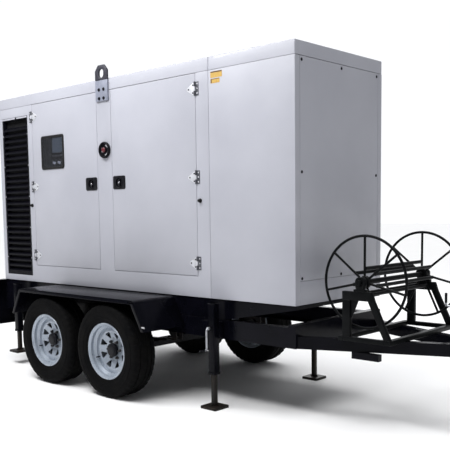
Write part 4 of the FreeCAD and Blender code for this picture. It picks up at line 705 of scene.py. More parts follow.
def latch(end, name, side, x):
    body = f"door_{end}_{name}"
    z = LATCH_HEIGHT
    face = HALF * side
    tray = Shape()
    outer = rounded(rectangle(x - 0.0775, z - 0.055, x + 0.0775, z + 0.055), 0.017, 6)
    inner = rounded(rectangle(x - 0.0695, z - 0.047, x + 0.0695, z + 0.047), 0.011, 6)
    rings = []
    for outline, y in ((inner, -0.0195), (inner, 0.0), (outer, 0.0), (outer, 0.0032)):
        rings.append([spot("y", u, v, face + y * side) for u, v in outline])
    top = [(x + (u - x) * 0.985, z + (v - z) * 0.98) for u, v in outer]
    rings.append([spot("y", u, v, face + 0.004 * side) for u, v in top])
    tray.loops(rings)
    recess = Shape().lathe("y", (x, face, z), [(0, 0.02 * side), (0.0405, 0.02 * side),
                                               (0.0405, -0.016 * side), (0.0082, -0.016 * side),
                                               (0.0082, -0.03 * side), (0, -0.03 * side)], 56)
    tray.carve(recess).bevel(0.0008, 2, 50)
    rim = [(0.0408, 0.0036), (0.0408, 0.0056), (0.0425, 0.0064), (0.0455, 0.0056), (0.0462, 0.0036)]
    tray.lathe("y", (x, face, z), rim, 56, closed=True, way=side)
    tray.piece(f"latch_tray_{end}_{name}", body, PLASTIC, "black_plastic")

    handle = Shape()
    disc = [(0, -0.004), (0.012, -0.004), (0.020, -0.0065), (0.029, -0.0065), (0.0335, -0.004),
            (0.034, -0.0055), (0.034, -0.0155), (0, -0.0155)]
    handle.lathe("y", (x, face, z), disc, 48, way=side)
    bar = rounded(rectangle(x - 0.008, z - 0.031, x + 0.008, z + 0.031), 0.0075, 5)
    grip = Shape().prism("y", bar, face - 0.006 * side, face + 0.0048 * side).bevel(0.0015, 2, 50)
    handle.add(grip)
    behind = HALF - 0.040
    handle.rod((x, face - 0.010 * side, z), (x, (behind - 0.008) * side, z), 0.0078)
    cam = rounded([(x - 0.011, z - 0.112), (x + 0.011, z - 0.112), (x + 0.013, z + 0.014),
                   (x - 0.013, z + 0.014)], 0.006, 3)
    plate = Shape().prism("y", cam, (behind - 0.0078) * side, (behind - 0.0032) * side).bevel(0.0006, 1)
    handle.add(plate)
    node = f"latch_{end}_{name}"
    handle.piece(f"latch_handle_{end}_{name}", node, PLASTIC, "black_plastic", [node])
    key = Shape()
    profile = [(0.0, 0.0072), (0.0035, 0.0072), (0.0035, 0.0076), (0.0078, 0.0076), (0.0088, 0.0068),
               (0.009, 0.004), (0, 0.004)]
    key.lathe("y", (x, face, z), profile, 32, way=side)
    slit = Shape().prism("y", rectangle(x - 0.001, z - 0.0055, x + 0.001, z + 0.0055),
                         face + 0.0055 * side, face + 0.01 * side)
    key.carve(slit)
    key.piece(f"latch_key_{end}_{name}", node, CHROME, "latch_metal")


def hinge(label, body, end, side, z, pin):
    """A triangular leaf on the door, a narrow leaf on the frame, knuckles and a headed pin."""
    toward = 1 if end == "rear" else -1
    face = HALF * side
    px, py = pin[0], pin[1]
    half_tall, leaf_thick, pin_gap = 0.050, 0.003, 0.0085
    third = half_tall * 2 / 6
    root = px + pin_gap * toward
    tip = px + 0.086 * toward
    leaf = Shape()
    outline = rounded([(root, z - half_tall), (root, z + half_tall), (tip, z + 0.009), (tip, z - 0.009)],
                      0.006, 3)
    leaf.prism("y", outline, face, face + leaf_thick * side)
    leaf.prism("y", rectangle(min(px, root + 0.004 * toward), z - third + 0.0006,
                              max(px, root + 0.004 * toward), z + third - 0.0006), face + 0.0003 * side,
               face + 0.005 * side)
    leaf.bevel(0.0007, 2)
    leaf.rod((px, py, z - third + 0.0006), (px, py, z + third - 0.0006), 0.007, 28, 0.0006)
    leaf.piece(f"hinge_leaf_{label}", body, LEAF, "zinc_steel")
    screws = Shape()
    for dx, dz in ((0.022, -0.028), (0.022, 0.028), (0.066, 0.0)):
        screws.screw((px + dx * toward, face + 0.003 * side, z + dz), "y", side, 0.0062, 0.0028)
    screws.piece(f"hinge_screws_{label}", body, PLASTIC, "zinc_steel")

    # The frame-side leaf and knuckles take the darker zinc, whose colour paints in the shade they sit in.
    bracket = Shape()
    near = px - pin_gap * toward
    far = near - 0.026 * toward
    bracket.plate("y", (min(near, far), z - 0.050, max(near, far), z + 0.050), 0.003, face,
                  face + 0.003 * side, 3)
    for low, high in ((z - half_tall, z - third), (z + third, z + half_tall)):
        inner = near - 0.004 * toward
        bracket.prism("y", rectangle(min(px, inner), low, max(px, inner), high), face + 0.0003 * side,
                      face + 0.005 * side)
    bracket.bevel(0.0007, 2)
    for low, high in ((z - half_tall, z - third), (z + third, z + half_tall)):
        bracket.rod((px, py, low), (px, py, high), 0.007, 28, 0.0006)
    bracket.rod((px, py, z - 0.0515), (px, py, z + 0.0515), 0.004, 20, 0.001)
    bracket.piece(f"hinge_bracket_{label}", "chassis", SHADED_ZINC, "zinc_steel", ["hinge_brackets"])
    heads = Shape()
    for dz in (-0.034, 0.0, 0.034):
        heads.screw((px - 0.022 * toward, face + 0.003 * side, z + dz), "y", side, 0.0058, 0.0026)
    heads.piece(f"bracket_screws_{label}", "chassis", LEAF, "zinc_steel")


def window():
    """Rubber gasket and tinted pane on the door."""
    low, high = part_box("window_glass")
    edge = 0.004
    outer = rounded(rectangle(low[0] - edge, low[2] - edge, high[0] + edge, high[2] + edge), 0.022, 6)
    inner = rounded(rectangle(low[0] + 0.016, low[2] + 0.016, high[0] - 0.016, high[2] - 0.016), 0.016, 6)
    profile = ((outer, -0.0004), (outer, 0.006), (shrunk(outer, low, high, 0.003), 0.009),
               (shrunk(inner, low, high, -0.004), 0.009), (inner, 0.006), (inner, -0.004),
               (shrunk(inner, low, high, -0.004), -0.004), (shrunk(inner, low, high, -0.004), -0.0004))
    gasket = Shape().loops([[spot("y", u, v, -HALF - y) for u, v in outline]
                            for outline, y in profile], capped=False, closed=True)
    gasket.piece("window_gasket", "door_rear_right", RUBBER, "black_plastic")
    pane = Shape().plate("y", (low[0] + 0.013, low[2] + 0.013, high[0] - 0.013, high[2] - 0.013), 0.014,
                         -HALF - 0.001, -HALF - 0.005, 6)
    pane.bevel(0.0005, 1).piece("window_pane", "door_rear_right", GLASS, "dark_glass",
                                ["window_glass"])


def shrunk(outline, low, high, by):
    """The outline moved towards the middle of the box by a length."""
    u = (low[0] + high[0]) / 2
    v = (low[2] + high[2]) / 2
    half_u = (high[0] - low[0]) / 2
    half_v = (high[2] - low[2]) / 2
    return [(u + (a - u) * (1 - by / half_u), v + (b - v) * (1 - by / half_v)) for a, b in outline]


def controller():
    """The cabinet's front: a bezel, display, keys, lamps and a rotary switch."""
    low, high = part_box("control_cabinet")
    window_low, window_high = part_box("window_glass")
    face = -0.480
    bezel = Shape()
    x0, x1 = window_low[0] + 0.080, window_high[0] - 0.056
    z0, z1 = window_low[2] + 0.088, window_high[2] - 0.006
    bezel.plate("y", (x0, z0, x1, z1), 0.010, face, face - 0.016)
    bezel.bevel(0.003, 3).piece("controller_bezel", "chassis", PLASTIC, "black_plastic")
    Shape().plate("y", (x0 + 0.024, z0 + 0.060, x1 - 0.020, z1 - 0.011), 0.004, face - 0.016,
                  face - 0.0172, 3).bevel(0.0005, 1).piece("controller_display", "chassis", SCREEN,
                                                           "black_plastic")
    keys = Shape()
    for k in range(6):
        keys.screw((x0 + 0.034 + 0.027 * k, face - 0.016, z0 + 0.030), "y", -1, 0.008, 0.003)
    keys.screw((window_low[0] + 0.020, face, (z0 + z1) / 2 - 0.03), "y", -1, 0.010, 0.010)
    keys.piece("controller_keys", "chassis", PALE, "cabinet_paint")
    # These lenses use the glowing material, a painted light.
    lamps = Shape()
    for x in (window_low[0] + 0.112, window_low[0] + 0.188):
        lamps.lathe("y", (x, face, window_low[2] + 0.059),
                    [(0, 0), (0.016, 0), (0.016, -0.004), (0.013, -0.006), (0.012, -0.016),
                     (0.007, -0.020), (0, -0.0205)], 28)
    lamps.piece("controller_lamps", "chassis", LAMP_PAINTED_GLOW, "cabinet_paint")
    panel = Shape()
    us = [low[0] + 0.006, high[0] - 0.006]
    panel.pan("y", (us[0], low[2] + 0.006, us[1], high[2] - 0.006), face - 0.0005, 1, 0.010)
    panel.piece("cabinet_door", "chassis", CABINET, "cabinet_paint")
    repaint(CABINET, "control_cabinet")


# ---------------------------------------------------------------- wheels

TREAD_SEGMENTS = 180


def tread_notch(point, step):
    """How far the tyre's rubber is cut back: sipes across the shoulder ribs and centre rib."""
    if point in (8, 9, 26, 27) and step % 4 == 0:
        return -0.007
    if point in (14, 15, 20, 21) and step % 4 == 2:
        return -0.004
    if point in (6, 29) and step % 4 == 0:
        return -0.004
    return 0.0


def wheel(end, name, side):
    body = f"wheel_{end}_{name}"
    node = f"tyre_{end}_{name}"
    low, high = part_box(node)
    centre = [(a + b) / 2 for a, b in zip(low, high)]
    r = (high[2] - low[2]) / 2
    out = side
    half = [(r - 0.159, 0.068), (r - 0.158, 0.080), (r - 0.146, 0.0845), (r - 0.141, 0.094),
            (r - 0.118, 0.106), (r - 0.078, 0.111), (r - 0.040, 0.1085), (r - 0.018, 0.103),
            (r - 0.006, 0.094), (r - 0.0015, 0.078), (r - 0.0012, 0.060), (r - 0.009, 0.0575),
            (r - 0.009, 0.0505), (r - 0.0008, 0.048), (r - 0.0004, 0.036), (r - 0.0004, 0.024),
            (r - 0.009, 0.0215), (r - 0.009, 0.0145)]
    outline = half + [(radius, -along) for radius, along in reversed(half)]
    inner = [(r - 0.138, -0.076), (r - 0.075, -0.098), (r - 0.022, -0.084), (r - 0.022, 0.084),
             (r - 0.075, 0.098), (r - 0.138, 0.076)]
    tyre = Shape().lathe("y", centre, outline + inner, TREAD_SEGMENTS, closed=True, wave=tread_notch)
    for radius, along, thick in ((r - 0.128, 0.1015, 0.0022), (r - 0.098, 0.1085, 0.0016),
                                 (r - 0.052, 0.1095, 0.0018)):
        for way in (-1, 1):
            tyre.torus("y", (centre[0], centre[1] + along * way, centre[2]), radius, thick, 90, 6)
    tyre.piece(f"{node}_tread", body, TYRE, "tyre", [node])

    rim = Shape()
    barrel = [(0.2195, 0.095), (0.2215, 0.0925), (0.2205, 0.0885), (0.2055, 0.0830), (0.2035, 0.057),
              (0.185, 0.040), (0.184, -0.030), (0.2030, -0.055), (0.2055, -0.082), (0.2205, -0.088),
              (0.2205, -0.094), (0.212, -0.095), (0.199, -0.084), (0.198, -0.057), (0.179, -0.032),
              (0.179, 0.042), (0.198, 0.060), (0.199, 0.084), (0.212, 0.095)]
    rim.lathe("y", centre, barrel, 96, closed=True, way=out)
    disc = Shape()
    face = [(0.180, 0.034), (0.162, 0.0335), (0.154, 0.0365), (0.147, 0.036), (0.140, 0.0315),
            (0.097, 0.013), (0.090, 0.0095), (0.084, 0.006), (0.046, 0.006)]
    rear = [(0.046, 0.0005), (0.083, 0.0005), (0.095, 0.005), (0.138, 0.023), (0.150, 0.0275),
            (0.180, 0.0275)]
    disc.lathe("y", centre, face + rear, 96, closed=True, way=out)
    windows = Shape()
    for k in range(8):
        turn = math.tau * (k + 0.5) / 8
        across = (-math.sin(turn), math.cos(turn))
        along = (math.cos(turn), math.sin(turn))
        corners = [(centre[0] + along[0] * radius + across[0] * off,
                    centre[2] + along[1] * radius + across[1] * off)
                   for radius, off in ((0.086, 0.0), (0.142, 0.032), (0.142, -0.032))]
        windows.prism("y", rounded(corners, 0.008, 5), centre[1] - 0.02 * out, centre[1] + 0.06 * out)
    disc.carve(windows).bevel(0.0012, 2, 45)
    rim.add(disc)
    rim_node = f"wheel_rim_{end}_{name}"
    rim.piece(rim_node + "_dish", body, RIM, "rim_paint", [rim_node])

    hub = Shape()
    section = [(0.0, 0.050), (0.020, 0.050), (0.034, 0.0488), (0.042, 0.0465), (0.0445, 0.041),
               (0.051, 0.039), (0.053, 0.036), (0.053, 0.018), (0.0455, 0.016), (0.0455, 0.0002),
               (0.084, 0.0), (0.084, -0.011), (0.046, -0.011), (0.046, -0.060), (0.0222, -0.060),
               (0.0222, -0.02), (0, -0.02)]
    hub.lathe("y", centre, section, 48, way=out)
    drum = [(0.046, -0.012), (0.148, -0.012), (0.150, -0.014), (0.150, -0.030), (0.147, -0.032),
            (0.147, -0.060), (0.150, -0.062), (0.150, -0.075), (0.140, -0.075), (0.140, -0.024),
            (0.046, -0.024)]
    Shape().lathe("y", centre, drum, 72, closed=True, way=out).piece(f"{rim_node}_drum", body, SPRING,
                                                                     "rim_paint")
    for k in range(6):
        turn = math.tau * (k + 0.5) / 6
        x = centre[0] + 0.048 * math.cos(turn)
        z = centre[2] + 0.048 * math.sin(turn)
        rib = rounded(rectangle(x - 0.007, z - 0.007, x + 0.007, z + 0.007), 0.003, 2)
        hub.prism("y", rib, centre[1] + 0.019 * out, centre[1] + 0.0375 * out)
    valve = (centre[0] - 0.150, centre[1], centre[2] - 0.068)
    hub.rod((valve[0], centre[1] + 0.030 * out, valve[2]), (valve[0], centre[1] + 0.070 * out, valve[2]),
            0.0055, 14)
    hub.piece(f"{rim_node}_hub", body, PLASTIC, "rim_paint")
    nuts = Shape()
    for k in range(6):
        turn = math.tau * k / 6
        x = centre[0] + 0.06985 * math.cos(turn)
        z = centre[2] + 0.06985 * math.sin(turn)
        seat = [(0.0, 0.0055), (0.0125, 0.0055), (0.0125, 0.0095), (0.0105, 0.0115), (0, 0.0115)]
        nuts.lathe("y", (x, centre[1], z), seat, 20, way=out)
        nuts.screw((x, centre[1] + 0.011 * out, z), "y", out, 0.0108, 0.0135, 6)
        nuts.rod((x, centre[1] + 0.022 * out, z), (x, centre[1] + 0.030 * out, z), 0.0062, 14)
    nuts.piece(f"{rim_node}_nuts", body, NUTS, "zinc_steel")


# ---------------------------------------------------------------- trailer

def fenders():
    low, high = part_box("fenders")
    slope, top, base, sheet, skirt = 0.115, high[2], low[2], 0.004, 0.030
    guard = Shape()

    def arch(depth):
        """The guard's outline, outside and then back inside at a depth below it."""
        outside = [(low[0], base), (low[0] + slope, top), (high[0] - slope, top), (high[0], base)]
        lean = depth * 1.1
        inside = [(high[0] - lean, base), (high[0] - slope - depth * 0.6, top - depth),
                  (low[0] + slope + depth * 0.6, top - depth), (low[0] + lean, base)]
        corners = []
        for path, radius in ((outside, 0.030), (inside, 0.026)):
            bent = rounded([(path[0][0], path[0][1] - 1), *path[1:3], (path[3][0], path[3][1] - 1)],
                           radius, 6)
            middle = [p for p in bent if p[1] > base]
            corners += [path[0]] + middle + [path[3]]
        return corners

    for side in SIDES.values():
        outer = high[1] * side
        guard.prism("y", arch(sheet), HALF * side, outer)
        guard.prism("y", arch(skirt), outer, outer - sheet * side)
    guard.bevel(0.0012, 2, 50)
    guard.piece("wheel_guards", "chassis", CHASSIS, "chassis_paint", ["fenders"])
    markers = Shape()
    for side in SIDES.values():
        for x, z in ((high[0] - slope - 0.03, top - 0.018), (high[0] - 0.012, base + 0.035)):
            y = high[1] * side
            markers.box((x - 0.020, min(y, y - 0.002 * side), z - 0.006),
                        (x + 0.020, max(y, y - 0.002 * side), z + 0.006))
    markers.bevel(0.001).piece("side_markers", "chassis", PALE, "chassis_paint")


def tail():
    """The rear bumper, its lamps with bezels, and a blank plate holder."""
    (x0, y0, z0), (x1, y1, z1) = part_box("rear_bumper")
    bumper = Shape().pan("x", (y0, z0, y1, z1), x0, 1, x1 - x0, wall=0.004, fold=0.010, corner=0.012)
    bumper.piece("bumper_panel", "chassis", CHASSIS, "chassis_paint", ["rear_bumper"])
    lamp_low, lamp_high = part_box("rear_lamps")
    lenses = Shape()
    amber = Shape()
    bezels = Shape()
    for side in SIDES.values():
        inner, outer = sorted((0.560 * side, 0.720 * side))
        split = inner + (outer - inner) * (0.66 if side > 0 else 0.34)
        bezel = Shape().plate("x", (inner - 0.006, lamp_low[2] - 0.006, outer + 0.006,
                                    lamp_high[2] + 0.006), 0.012, x0, x0 - 0.004)
        bezels.add(bezel.bevel(0.001))
        for part, (a, b) in ((lenses, (inner, split) if side > 0 else (split, outer)),
                             (amber, (split, outer) if side > 0 else (inner, split))):
            lens = Shape().plate("x", (a + 0.001, lamp_low[2], b - 0.001, lamp_high[2]), 0.008,
                                 x0 - 0.003, lamp_low[0])
            part.add(lens.bevel(0.003, 3))
    bezels.piece("lamp_bezels", "chassis", PLASTIC, "black_plastic")
    lenses.piece("lamp_lenses", "chassis", LENS, "red_lens", ["rear_lamps"])
    amber.piece("lamp_indicators", "chassis", AMBER, "red_lens")
    holder = Shape().plate("x", (-0.26, z0 + 0.16, 0.26, z0 + 0.28), 0.008, x0, x0 - 0.004)
    holder.bevel(0.001).piece("plate_holder", "chassis", PLASTIC, "black_plastic")


def square_tube(shape, x, y, half, low, high, corner=0.007):
    outline = rounded(rectangle(x - half, y - half, x + half, y + half), corner, 4)
    return shape.prism("z", outline, low, high)


TUBE_WALL = 0.004
FOOT_THICK = 0.020
SIDE_JACK = (0.030, 0.018)
TONGUE_JACK = (0.038, 0.0265)
TUBE_LOW = {"front": 0.250, "rear": 0.310, "tongue": 0.385}
CRANK_ROD, GRIP_ROD = 0.0072, 0.009


def jack(label, node, x, y, halves, low, top, plates, extras=None):
    """A rounded outer tube with collar and cap, and the leg that slides in it."""
    half, inner = halves
    slack = 0.0004
    housing = square_tube(Shape(), x, y, half, low, top)
    cavity = square_tube(Shape(), x, y, half - TUBE_WALL, low + 0.020, top - 0.005)
    square_tube(cavity, x, y, inner + slack, low - 0.01, low + 0.03, 0.003)
    housing.carve(cavity).bevel(0.0012, 2, 50)
    collar = square_tube(Shape(), x, y, half + 0.004, low, low + 0.018, 0.009)
    collar.carve(square_tube(Shape(), x, y, half - 0.002, low - 0.01, low + 0.04, 0.005))
    housing.add(collar.bevel(0.001, 2, 50))
    cap = square_tube(Shape(), x, y, half + 0.002, top - 0.010, top, 0.008).bevel(0.002, 2, 50)
    housing.add(cap)
    for plate_low, plate_high in plates:
        plate = Shape().box(plate_low, plate_high).bevel(0.002, 2)
        housing.add(plate)
    if extras:
        extras(housing)
    housing.piece(f"jack_tube_{label}", "chassis", CHASSIS, "chassis_paint", ["jack_housings"])

    leg_low, leg_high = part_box(node)
    foot = (leg_high[0] - leg_low[0]) / 2
    sole = leg_low[2] + FOOT_THICK
    leg = square_tube(Shape(), x, y, inner, sole - 0.006, leg_high[2], 0.005)
    leg.carve(square_tube(Shape(), x, y, inner - TUBE_WALL, sole - 0.002, leg_high[2] + 0.01, 0.003))
    leg.bevel(0.0008, 1, 50)
    shoe = Shape().pan("z", (x - foot, y - foot, x + foot, y + foot), sole, -1, FOOT_THICK,
                       wall=0.006, fold=0.005, corner=0.008)
    leg.add(shoe)
    for dx, dy in ((1, 0), (-1, 0), (0, 1), (0, -1)):
        gusset = Shape()
        reach = 0.024
        a, b = inner - 0.001, sole - 0.001
        outline = [(a, b), (a + reach, b), (a, b + reach)]
        if dx:
            gusset.prism("y", [(x + dx * u, w) for u, w in outline], y - 0.003, y + 0.003)
        else:
            gusset.prism("x", [(y + dy * u, w) for u, w in outline], x - 0.003, x + 0.003)
        leg.add(gusset)
    leg.piece(f"jack_tube_inner_{label}", node, BARE, "bare_steel", [node])


def jacks():
    rail_low, rail_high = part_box("chassis_rails")
    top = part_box("jack_housings")[1][2]
    for name, side in SIDES.items():
        pivot = JOINTS[f"jack_wind_{name}"]["pos_m"]
        for end in ENDS:
            node = f"jack_leg_{end}_{name}"
            low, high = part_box(node)
            x, y = (low[0] + high[0]) / 2, (low[1] + high[1]) / 2
            plate_y = sorted((HALF * side, y - 0.027 * side))
            plates = [((x - 0.150, plate_y[0], rail_low[2] + 0.010),
                       (x + 0.030, plate_y[1], rail_high[2] - 0.010))]

            def boss(housing, x=x, y=y, z=pivot[2]):
                section = [(0, 0.029), (0.024, 0.029), (0.024, 0.034), (0.020, 0.036), (0.020, 0.0425),
                           (0.012, 0.0435), (0, 0.0435)]
                housing.lathe("y", (x, y, z), section, 32, way=side)

            jack(f"{end}_{name}", node, x, y, SIDE_JACK, TUBE_LOW[end], top, plates,
                 boss if end == "front" else None)
        x, y, z = pivot
        low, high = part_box(f"jack_crank_{name}")
        near = low[1] if side > 0 else high[1]
        far = high[1] if side > 0 else low[1]
        drop = low[2] + GRIP_ROD
        elbow = near + 0.030 * side
        crank = Shape().tube([(x, near, z), (x, elbow, z), (x, elbow, drop), (x, far, drop)], CRANK_ROD,
                             0.018)
        crank.rod((x, near, z), (x, near + 0.020 * side, z), 0.011)
        node = f"jack_crank_{name}"
        crank.piece(f"{node}_bar", node, ZINC, "zinc_steel", [node])
        grip = Shape().rod((x, elbow + 0.022 * side, drop), (x, far, drop), GRIP_ROD, 20, 0.002)
        grip.piece(f"{node}_grip", node, PLASTIC, "black_plastic")
    tongue_jack()


def tongue_jack():
    pivot = JOINTS["jack_wind_tongue"]["pos_m"]
    x, y = pivot[0], pivot[1]
    low = TUBE_LOW["tongue"]
    top = 0.770
    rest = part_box("drawbar")[1][2]
    plates = [((x - 0.075, -0.110, rest), (x + 0.075, 0.110, rest + 0.012))]

    def plunger(housing):
        housing.rod((x - 0.108, y, low + 0.032), (x - 0.036, y, low + 0.032), 0.008, 18, 0.002)
        for dx in (-0.058, 0.058):
            for dy in (-0.090, 0.090):
                housing.screw((x + dx, dy, rest + 0.012), "z", 1, 0.010, 0.007, 6)

    jack("tongue", "jack_leg_tongue", x, y, TONGUE_JACK, low, top, plates, plunger)
    crank_low, crank_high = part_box("jack_crank_tongue")
    reach = crank_low[0] + GRIP_ROD
    level = top + 0.030
    crank = Shape().tube([(x, y, top + 0.001), (x, y, level), (reach, y, level),
                          (reach, y, crank_high[2])], 0.0075, 0.018)
    crank.rod((x, y, top + 0.0006), (x, y, top + 0.016), 0.012)
    crank.piece("jack_crank_tongue_bar", "jack_crank_tongue", ZINC, "zinc_steel",
                ["jack_crank_tongue"])
    Shape().rod((reach, y, level + 0.020), (reach, y, crank_high[2]), 0.009, 20, 0.002).piece(
        "jack_crank_tongue_grip", "jack_crank_tongue", PLASTIC, "black_plastic")


def tow_eye():
    low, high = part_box("tow_eye")
    middle = (low[2] + high[2]) / 2
    ring_x = high[0] - 0.073
    eye = Shape().torus("z", (ring_x, 0, middle), 0.0555, 0.0175, 64, 20)
    shank = [(0.028, 0), (0.026, 0.030), (0.024, ring_x - 0.060 - low[0])]
    eye.lathe("x", (low[0], 0, middle), [(0, 0)] + shank + [(0, ring_x - 0.060 - low[0])], 32)
    flange = Shape().plate("x", (-0.050, middle - 0.055, 0.050, middle + 0.055), 0.010, low[0],
                           low[0] + 0.016).bevel(0.0015)
    eye.add(flange)
    eye.piece("tow_ring", "chassis", FORGED, "forged_steel", ["tow_eye"])
    bolts = Shape()
    for y in (-0.034, 0.034):
        for z in (-0.038, 0.038):
            bolts.screw((low[0] + 0.016, y, middle + z), "x", 1, 0.011, 0.008, 6)
    bolts.piece("tow_ring_bolts", "chassis", ZINC, "zinc_steel")


# ---------------------------------------------------------------- cable reel

SPOKES = 7


def reel():
    x, _, z = JOINTS["reel_spin"]["pos_m"]
    low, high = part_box("reel_flanges")
    ring = (high[0] - low[0]) / 2 - 0.009
    track = high[1] - 0.015
    wheel_shape = Shape()
    drum = Shape()
    for side in (-1, 1):
        y = track * side
        wheel_shape.torus("y", (x, y, z), ring, 0.009)
        hub = [(0.018, -0.015), (0.038, -0.015), (0.042, -0.012), (0.042, 0.012), (0.038, 0.015),
               (0.018, 0.015)]
        wheel_shape.lathe("y", (x, y, z), hub, 40, closed=True)
        for k in range(SPOKES):
            angle = math.pi / 2 + math.tau * k / SPOKES
            direction = Vector((math.cos(angle), 0, math.sin(angle)))
            base = Vector((x, y, z))
            wheel_shape.rod(base + direction * 0.036, base + direction * ring, 0.008, 18, 0.0005)
            weld = base + direction * (ring - 0.008)
            wheel_shape.rod(weld, weld + direction * 0.006, 0.0105, 14, 0.002)
    for k in range(SPOKES):
        angle = math.pi / 2 + math.tau * k / SPOKES
        bx, bz = x + 0.088 * math.cos(angle), z + 0.088 * math.sin(angle)
        drum.rod((bx, -track + 0.006, bz), (bx, track - 0.006, bz), 0.012, 20)
    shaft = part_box("reel_drum")[1][1]
    drum.rod((x, -shaft, z), (x, shaft, z), 0.017, 28, 0.002)
    wheel_shape.piece("reel_rings", "reel", REEL, "reel_paint", ["reel_flanges"])
    drum.piece("reel_core", "reel", REEL, "reel_paint", ["reel_drum"])


def reel_stand():
    low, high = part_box("reel_stand")
    base_low, base_high = low[2], low[2] + 0.030
    beam_high = high[2]
    beam_low = beam_high - 0.058
    half = high[1]
    rear, front = low[0], high[0]
    stand = Shape()
    stand.box((rear, -half, base_low), (rear + 0.040, half, base_high))
    stand.box((front - 0.040, -half, base_low), (front, half, base_high))
    reel_x = JOINTS["reel_spin"]["pos_m"][0]
    post = reel_x - 0.132
    for side in SIDES.values():
        y0, y1 = sorted(((half - 0.030) * side, half * side))
        stand.box((rear + 0.040, y0, base_low), (front - 0.040, y1, base_high))
        stand.box((post, y0, base_high), (post + 0.059, y1, beam_low))
        stand.box((post, y0, beam_low), (post + 0.214, y1, beam_high))
        leg = [(reel_x + 0.172, base_high), (reel_x + 0.218, base_high), (reel_x + 0.102, beam_low + 0.002),
               (reel_x + 0.083, beam_high), (reel_x + 0.083, beam_low), (reel_x + 0.058, beam_low)]
        stand.prism("y", leg, y0, y1)
    stand.bevel(0.003, 3, 50)
    gusset = [(post + 0.059, beam_low), (post + 0.116, beam_low), (post + 0.059, beam_low - 0.130)]
    stand.prism("y", rounded(gusset, 0.004, 2), -(half - 0.012), -(half - 0.018))
    stand.piece("reel_support", "chassis", REEL, "reel_paint", ["reel_stand"])
    block_low, block_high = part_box("bearing_blocks")
    z = JOINTS["reel_spin"]["pos_m"][2]
    blocks = Shape()
    bolts = Shape()
    for side in SIDES.values():
        y0, y1 = sorted(((half - 0.032) * side, (half + 0.002) * side))
        flange = Shape().plate("y", (reel_x - 0.045, block_low[2], reel_x + 0.045, block_low[2] + 0.016),
                               0.003, y0, y1, 2)
        top = [(reel_x - 0.034, block_low[2] + 0.010), (reel_x + 0.034, block_low[2] + 0.010),
               (reel_x + 0.036, block_high[2]), (reel_x - 0.036, block_high[2])]
        flange.prism("y", rounded(top, 0.030, 8), y0 + 0.002, y1 - 0.002)
        bore = Shape().rod((reel_x, y0 - 0.01, z), (reel_x, y1 + 0.01, z), 0.0172, 32)
        blocks.add(flange.carve(bore).bevel(0.0015, 2, 45))
        for dx in (-0.040, 0.040):
            bolts.screw((reel_x + dx, (y0 + y1) / 2, block_low[2] + 0.016), "z", 1, 0.004, 0.005, 6)
        bolts.rod((reel_x, (y0 + y1) / 2, block_high[2] - 0.001), (reel_x, (y0 + y1) / 2,
                                                                    block_high[2] + 0.010), 0.004, 12)
    blocks.piece("pillow_blocks", "chassis", REEL, "reel_paint", ["bearing_blocks"])
    bolts.piece("pillow_block_bolts", "chassis", ZINC, "zinc_steel")


# ---------------------------------------------------------------- inside the canopy

def machinery():
    repaint(CHASSIS, "chassis_rails", "cross_members", "drawbar", "base_tank", "axle_beams")
    repaint(SPRING, "leaf_springs")
    repaint(ENGINE, "engine_block")
    repaint(CASTING, "alternator")
    repaint(SPRING, "crankshaft")
    repaint(PLASTIC, "cooling_fan", "battery", "air_filter")
    repaint(RUBBER, "vibration_mounts")
    repaint(FINS, "radiator")
    repaint(SILENCER, "silencer")


# ---------------------------------------------------------------- stage, light and camera

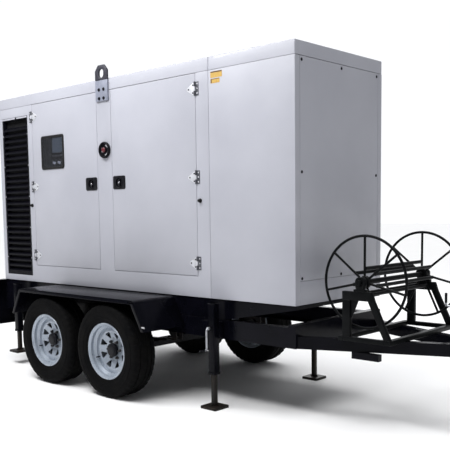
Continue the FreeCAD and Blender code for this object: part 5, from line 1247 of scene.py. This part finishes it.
def stage():
    """A pale floor far larger than the trailer, soft lights and a pale surround."""
    reach = 60
    floor = Shape()
    floor.box((-reach, -reach, -0.02), (reach, reach, 0))
    ground = floor.object("studio_floor")
    ground.data.materials.append(FLOOR)
    world = bpy.data.worlds.new("studio")
    bpy.context.scene.world = world
    world.use_nodes = True
    nodes, links = world.node_tree.nodes, world.node_tree.links
    direction = nodes.new("ShaderNodeTexCoord")
    toward = nodes.new("ShaderNodeVectorMath")
    toward.operation = "DOT_PRODUCT"
    bright = math.radians(134)
    toward.inputs[1].default_value = (math.cos(bright), math.sin(bright), 0)
    links.new(direction.outputs["Generated"], toward.inputs[0])
    fade = nodes.new("ShaderNodeMapRange")
    for socket, number in zip(("From Min", "From Max", "To Min", "To Max"), (0.45, 0.9, 0.22, 1.06)):
        fade.inputs[socket].default_value = number
    links.new(toward.outputs["Value"], fade.inputs["Value"])
    background = nodes["Background"]
    background.inputs["Color"].default_value = (0.96, 0.975, 1.0, 1)
    links.new(fade.outputs["Result"], background.inputs["Strength"])
    for name, kind, place, aim, size, power in (
            ("overhead", "SUN", (0, 0, 9), (0, 0.6, 0), 0, 2.35),
            ("key", "AREA", (-0.9, -2.7, 4.3), (-0.6, -0.2, 2.2), (4.6, 0.8), 175),
            ("back", "AREA", (-5.0, 6.5, 5.0), (0, 0, 1.2), (5, 5), 160)):
        light = bpy.data.lights.new(name, kind)
        light.energy = power
        if kind == "SUN":
            light.angle = math.radians(60)
        else:
            light.shape = "RECTANGLE"
            light.size, light.size_y = size
        lamp = bpy.data.objects.new(name, light)
        bpy.context.scene.collection.objects.link(lamp)
        lamp.location = place
        look = Vector(aim) - Vector(place)
        lamp.rotation_euler = look.to_track_quat("-Z", "Y").to_euler()


def camera():
    """A short telephoto from beside the front right corner, a little above the wheels."""
    turn, pitch, roll = math.radians(43.109), math.radians(5.465), -0.0142
    right = Vector((math.cos(turn), math.sin(turn), 0))
    forward = Vector((-math.sin(turn) * math.cos(pitch), math.cos(turn) * math.cos(pitch),
                      -math.sin(pitch)))
    up = right.cross(forward)
    across = right * math.cos(roll) + up * math.sin(roll)
    upward = up * math.cos(roll) - right * math.sin(roll)
    data = bpy.data.cameras.new("camera")
    data.lens = 59.08
    data.sensor_width = 36
    data.shift_x = 0.0183
    data.shift_y = 0.127
    data.clip_end = 200
    eye = bpy.data.objects.new("camera", data)
    bpy.context.scene.collection.objects.link(eye)
    turned = Matrix((across, upward, -forward)).transposed()
    place = (4.077, -4.459, 1.427)
    eye.matrix_world = Matrix.Translation(place) @ turned.to_4x4()
    bpy.context.scene.camera = eye
    bpy.context.scene.view_settings.view_transform = "Standard"


camera()
canopy()
front_screws()
door_buffers()
for side_name, way in SIDES.items():
    lifting_lug(side_name, way)
    for end_name in ENDS:
        door(end_name, side_name, way)
        wheel(end_name, side_name, way)
stickers()
louvres()
emergency_stop()
window()
controller()
fenders()
tail()
jacks()
tow_eye()
reel()
reel_stand()
machinery()
stage()
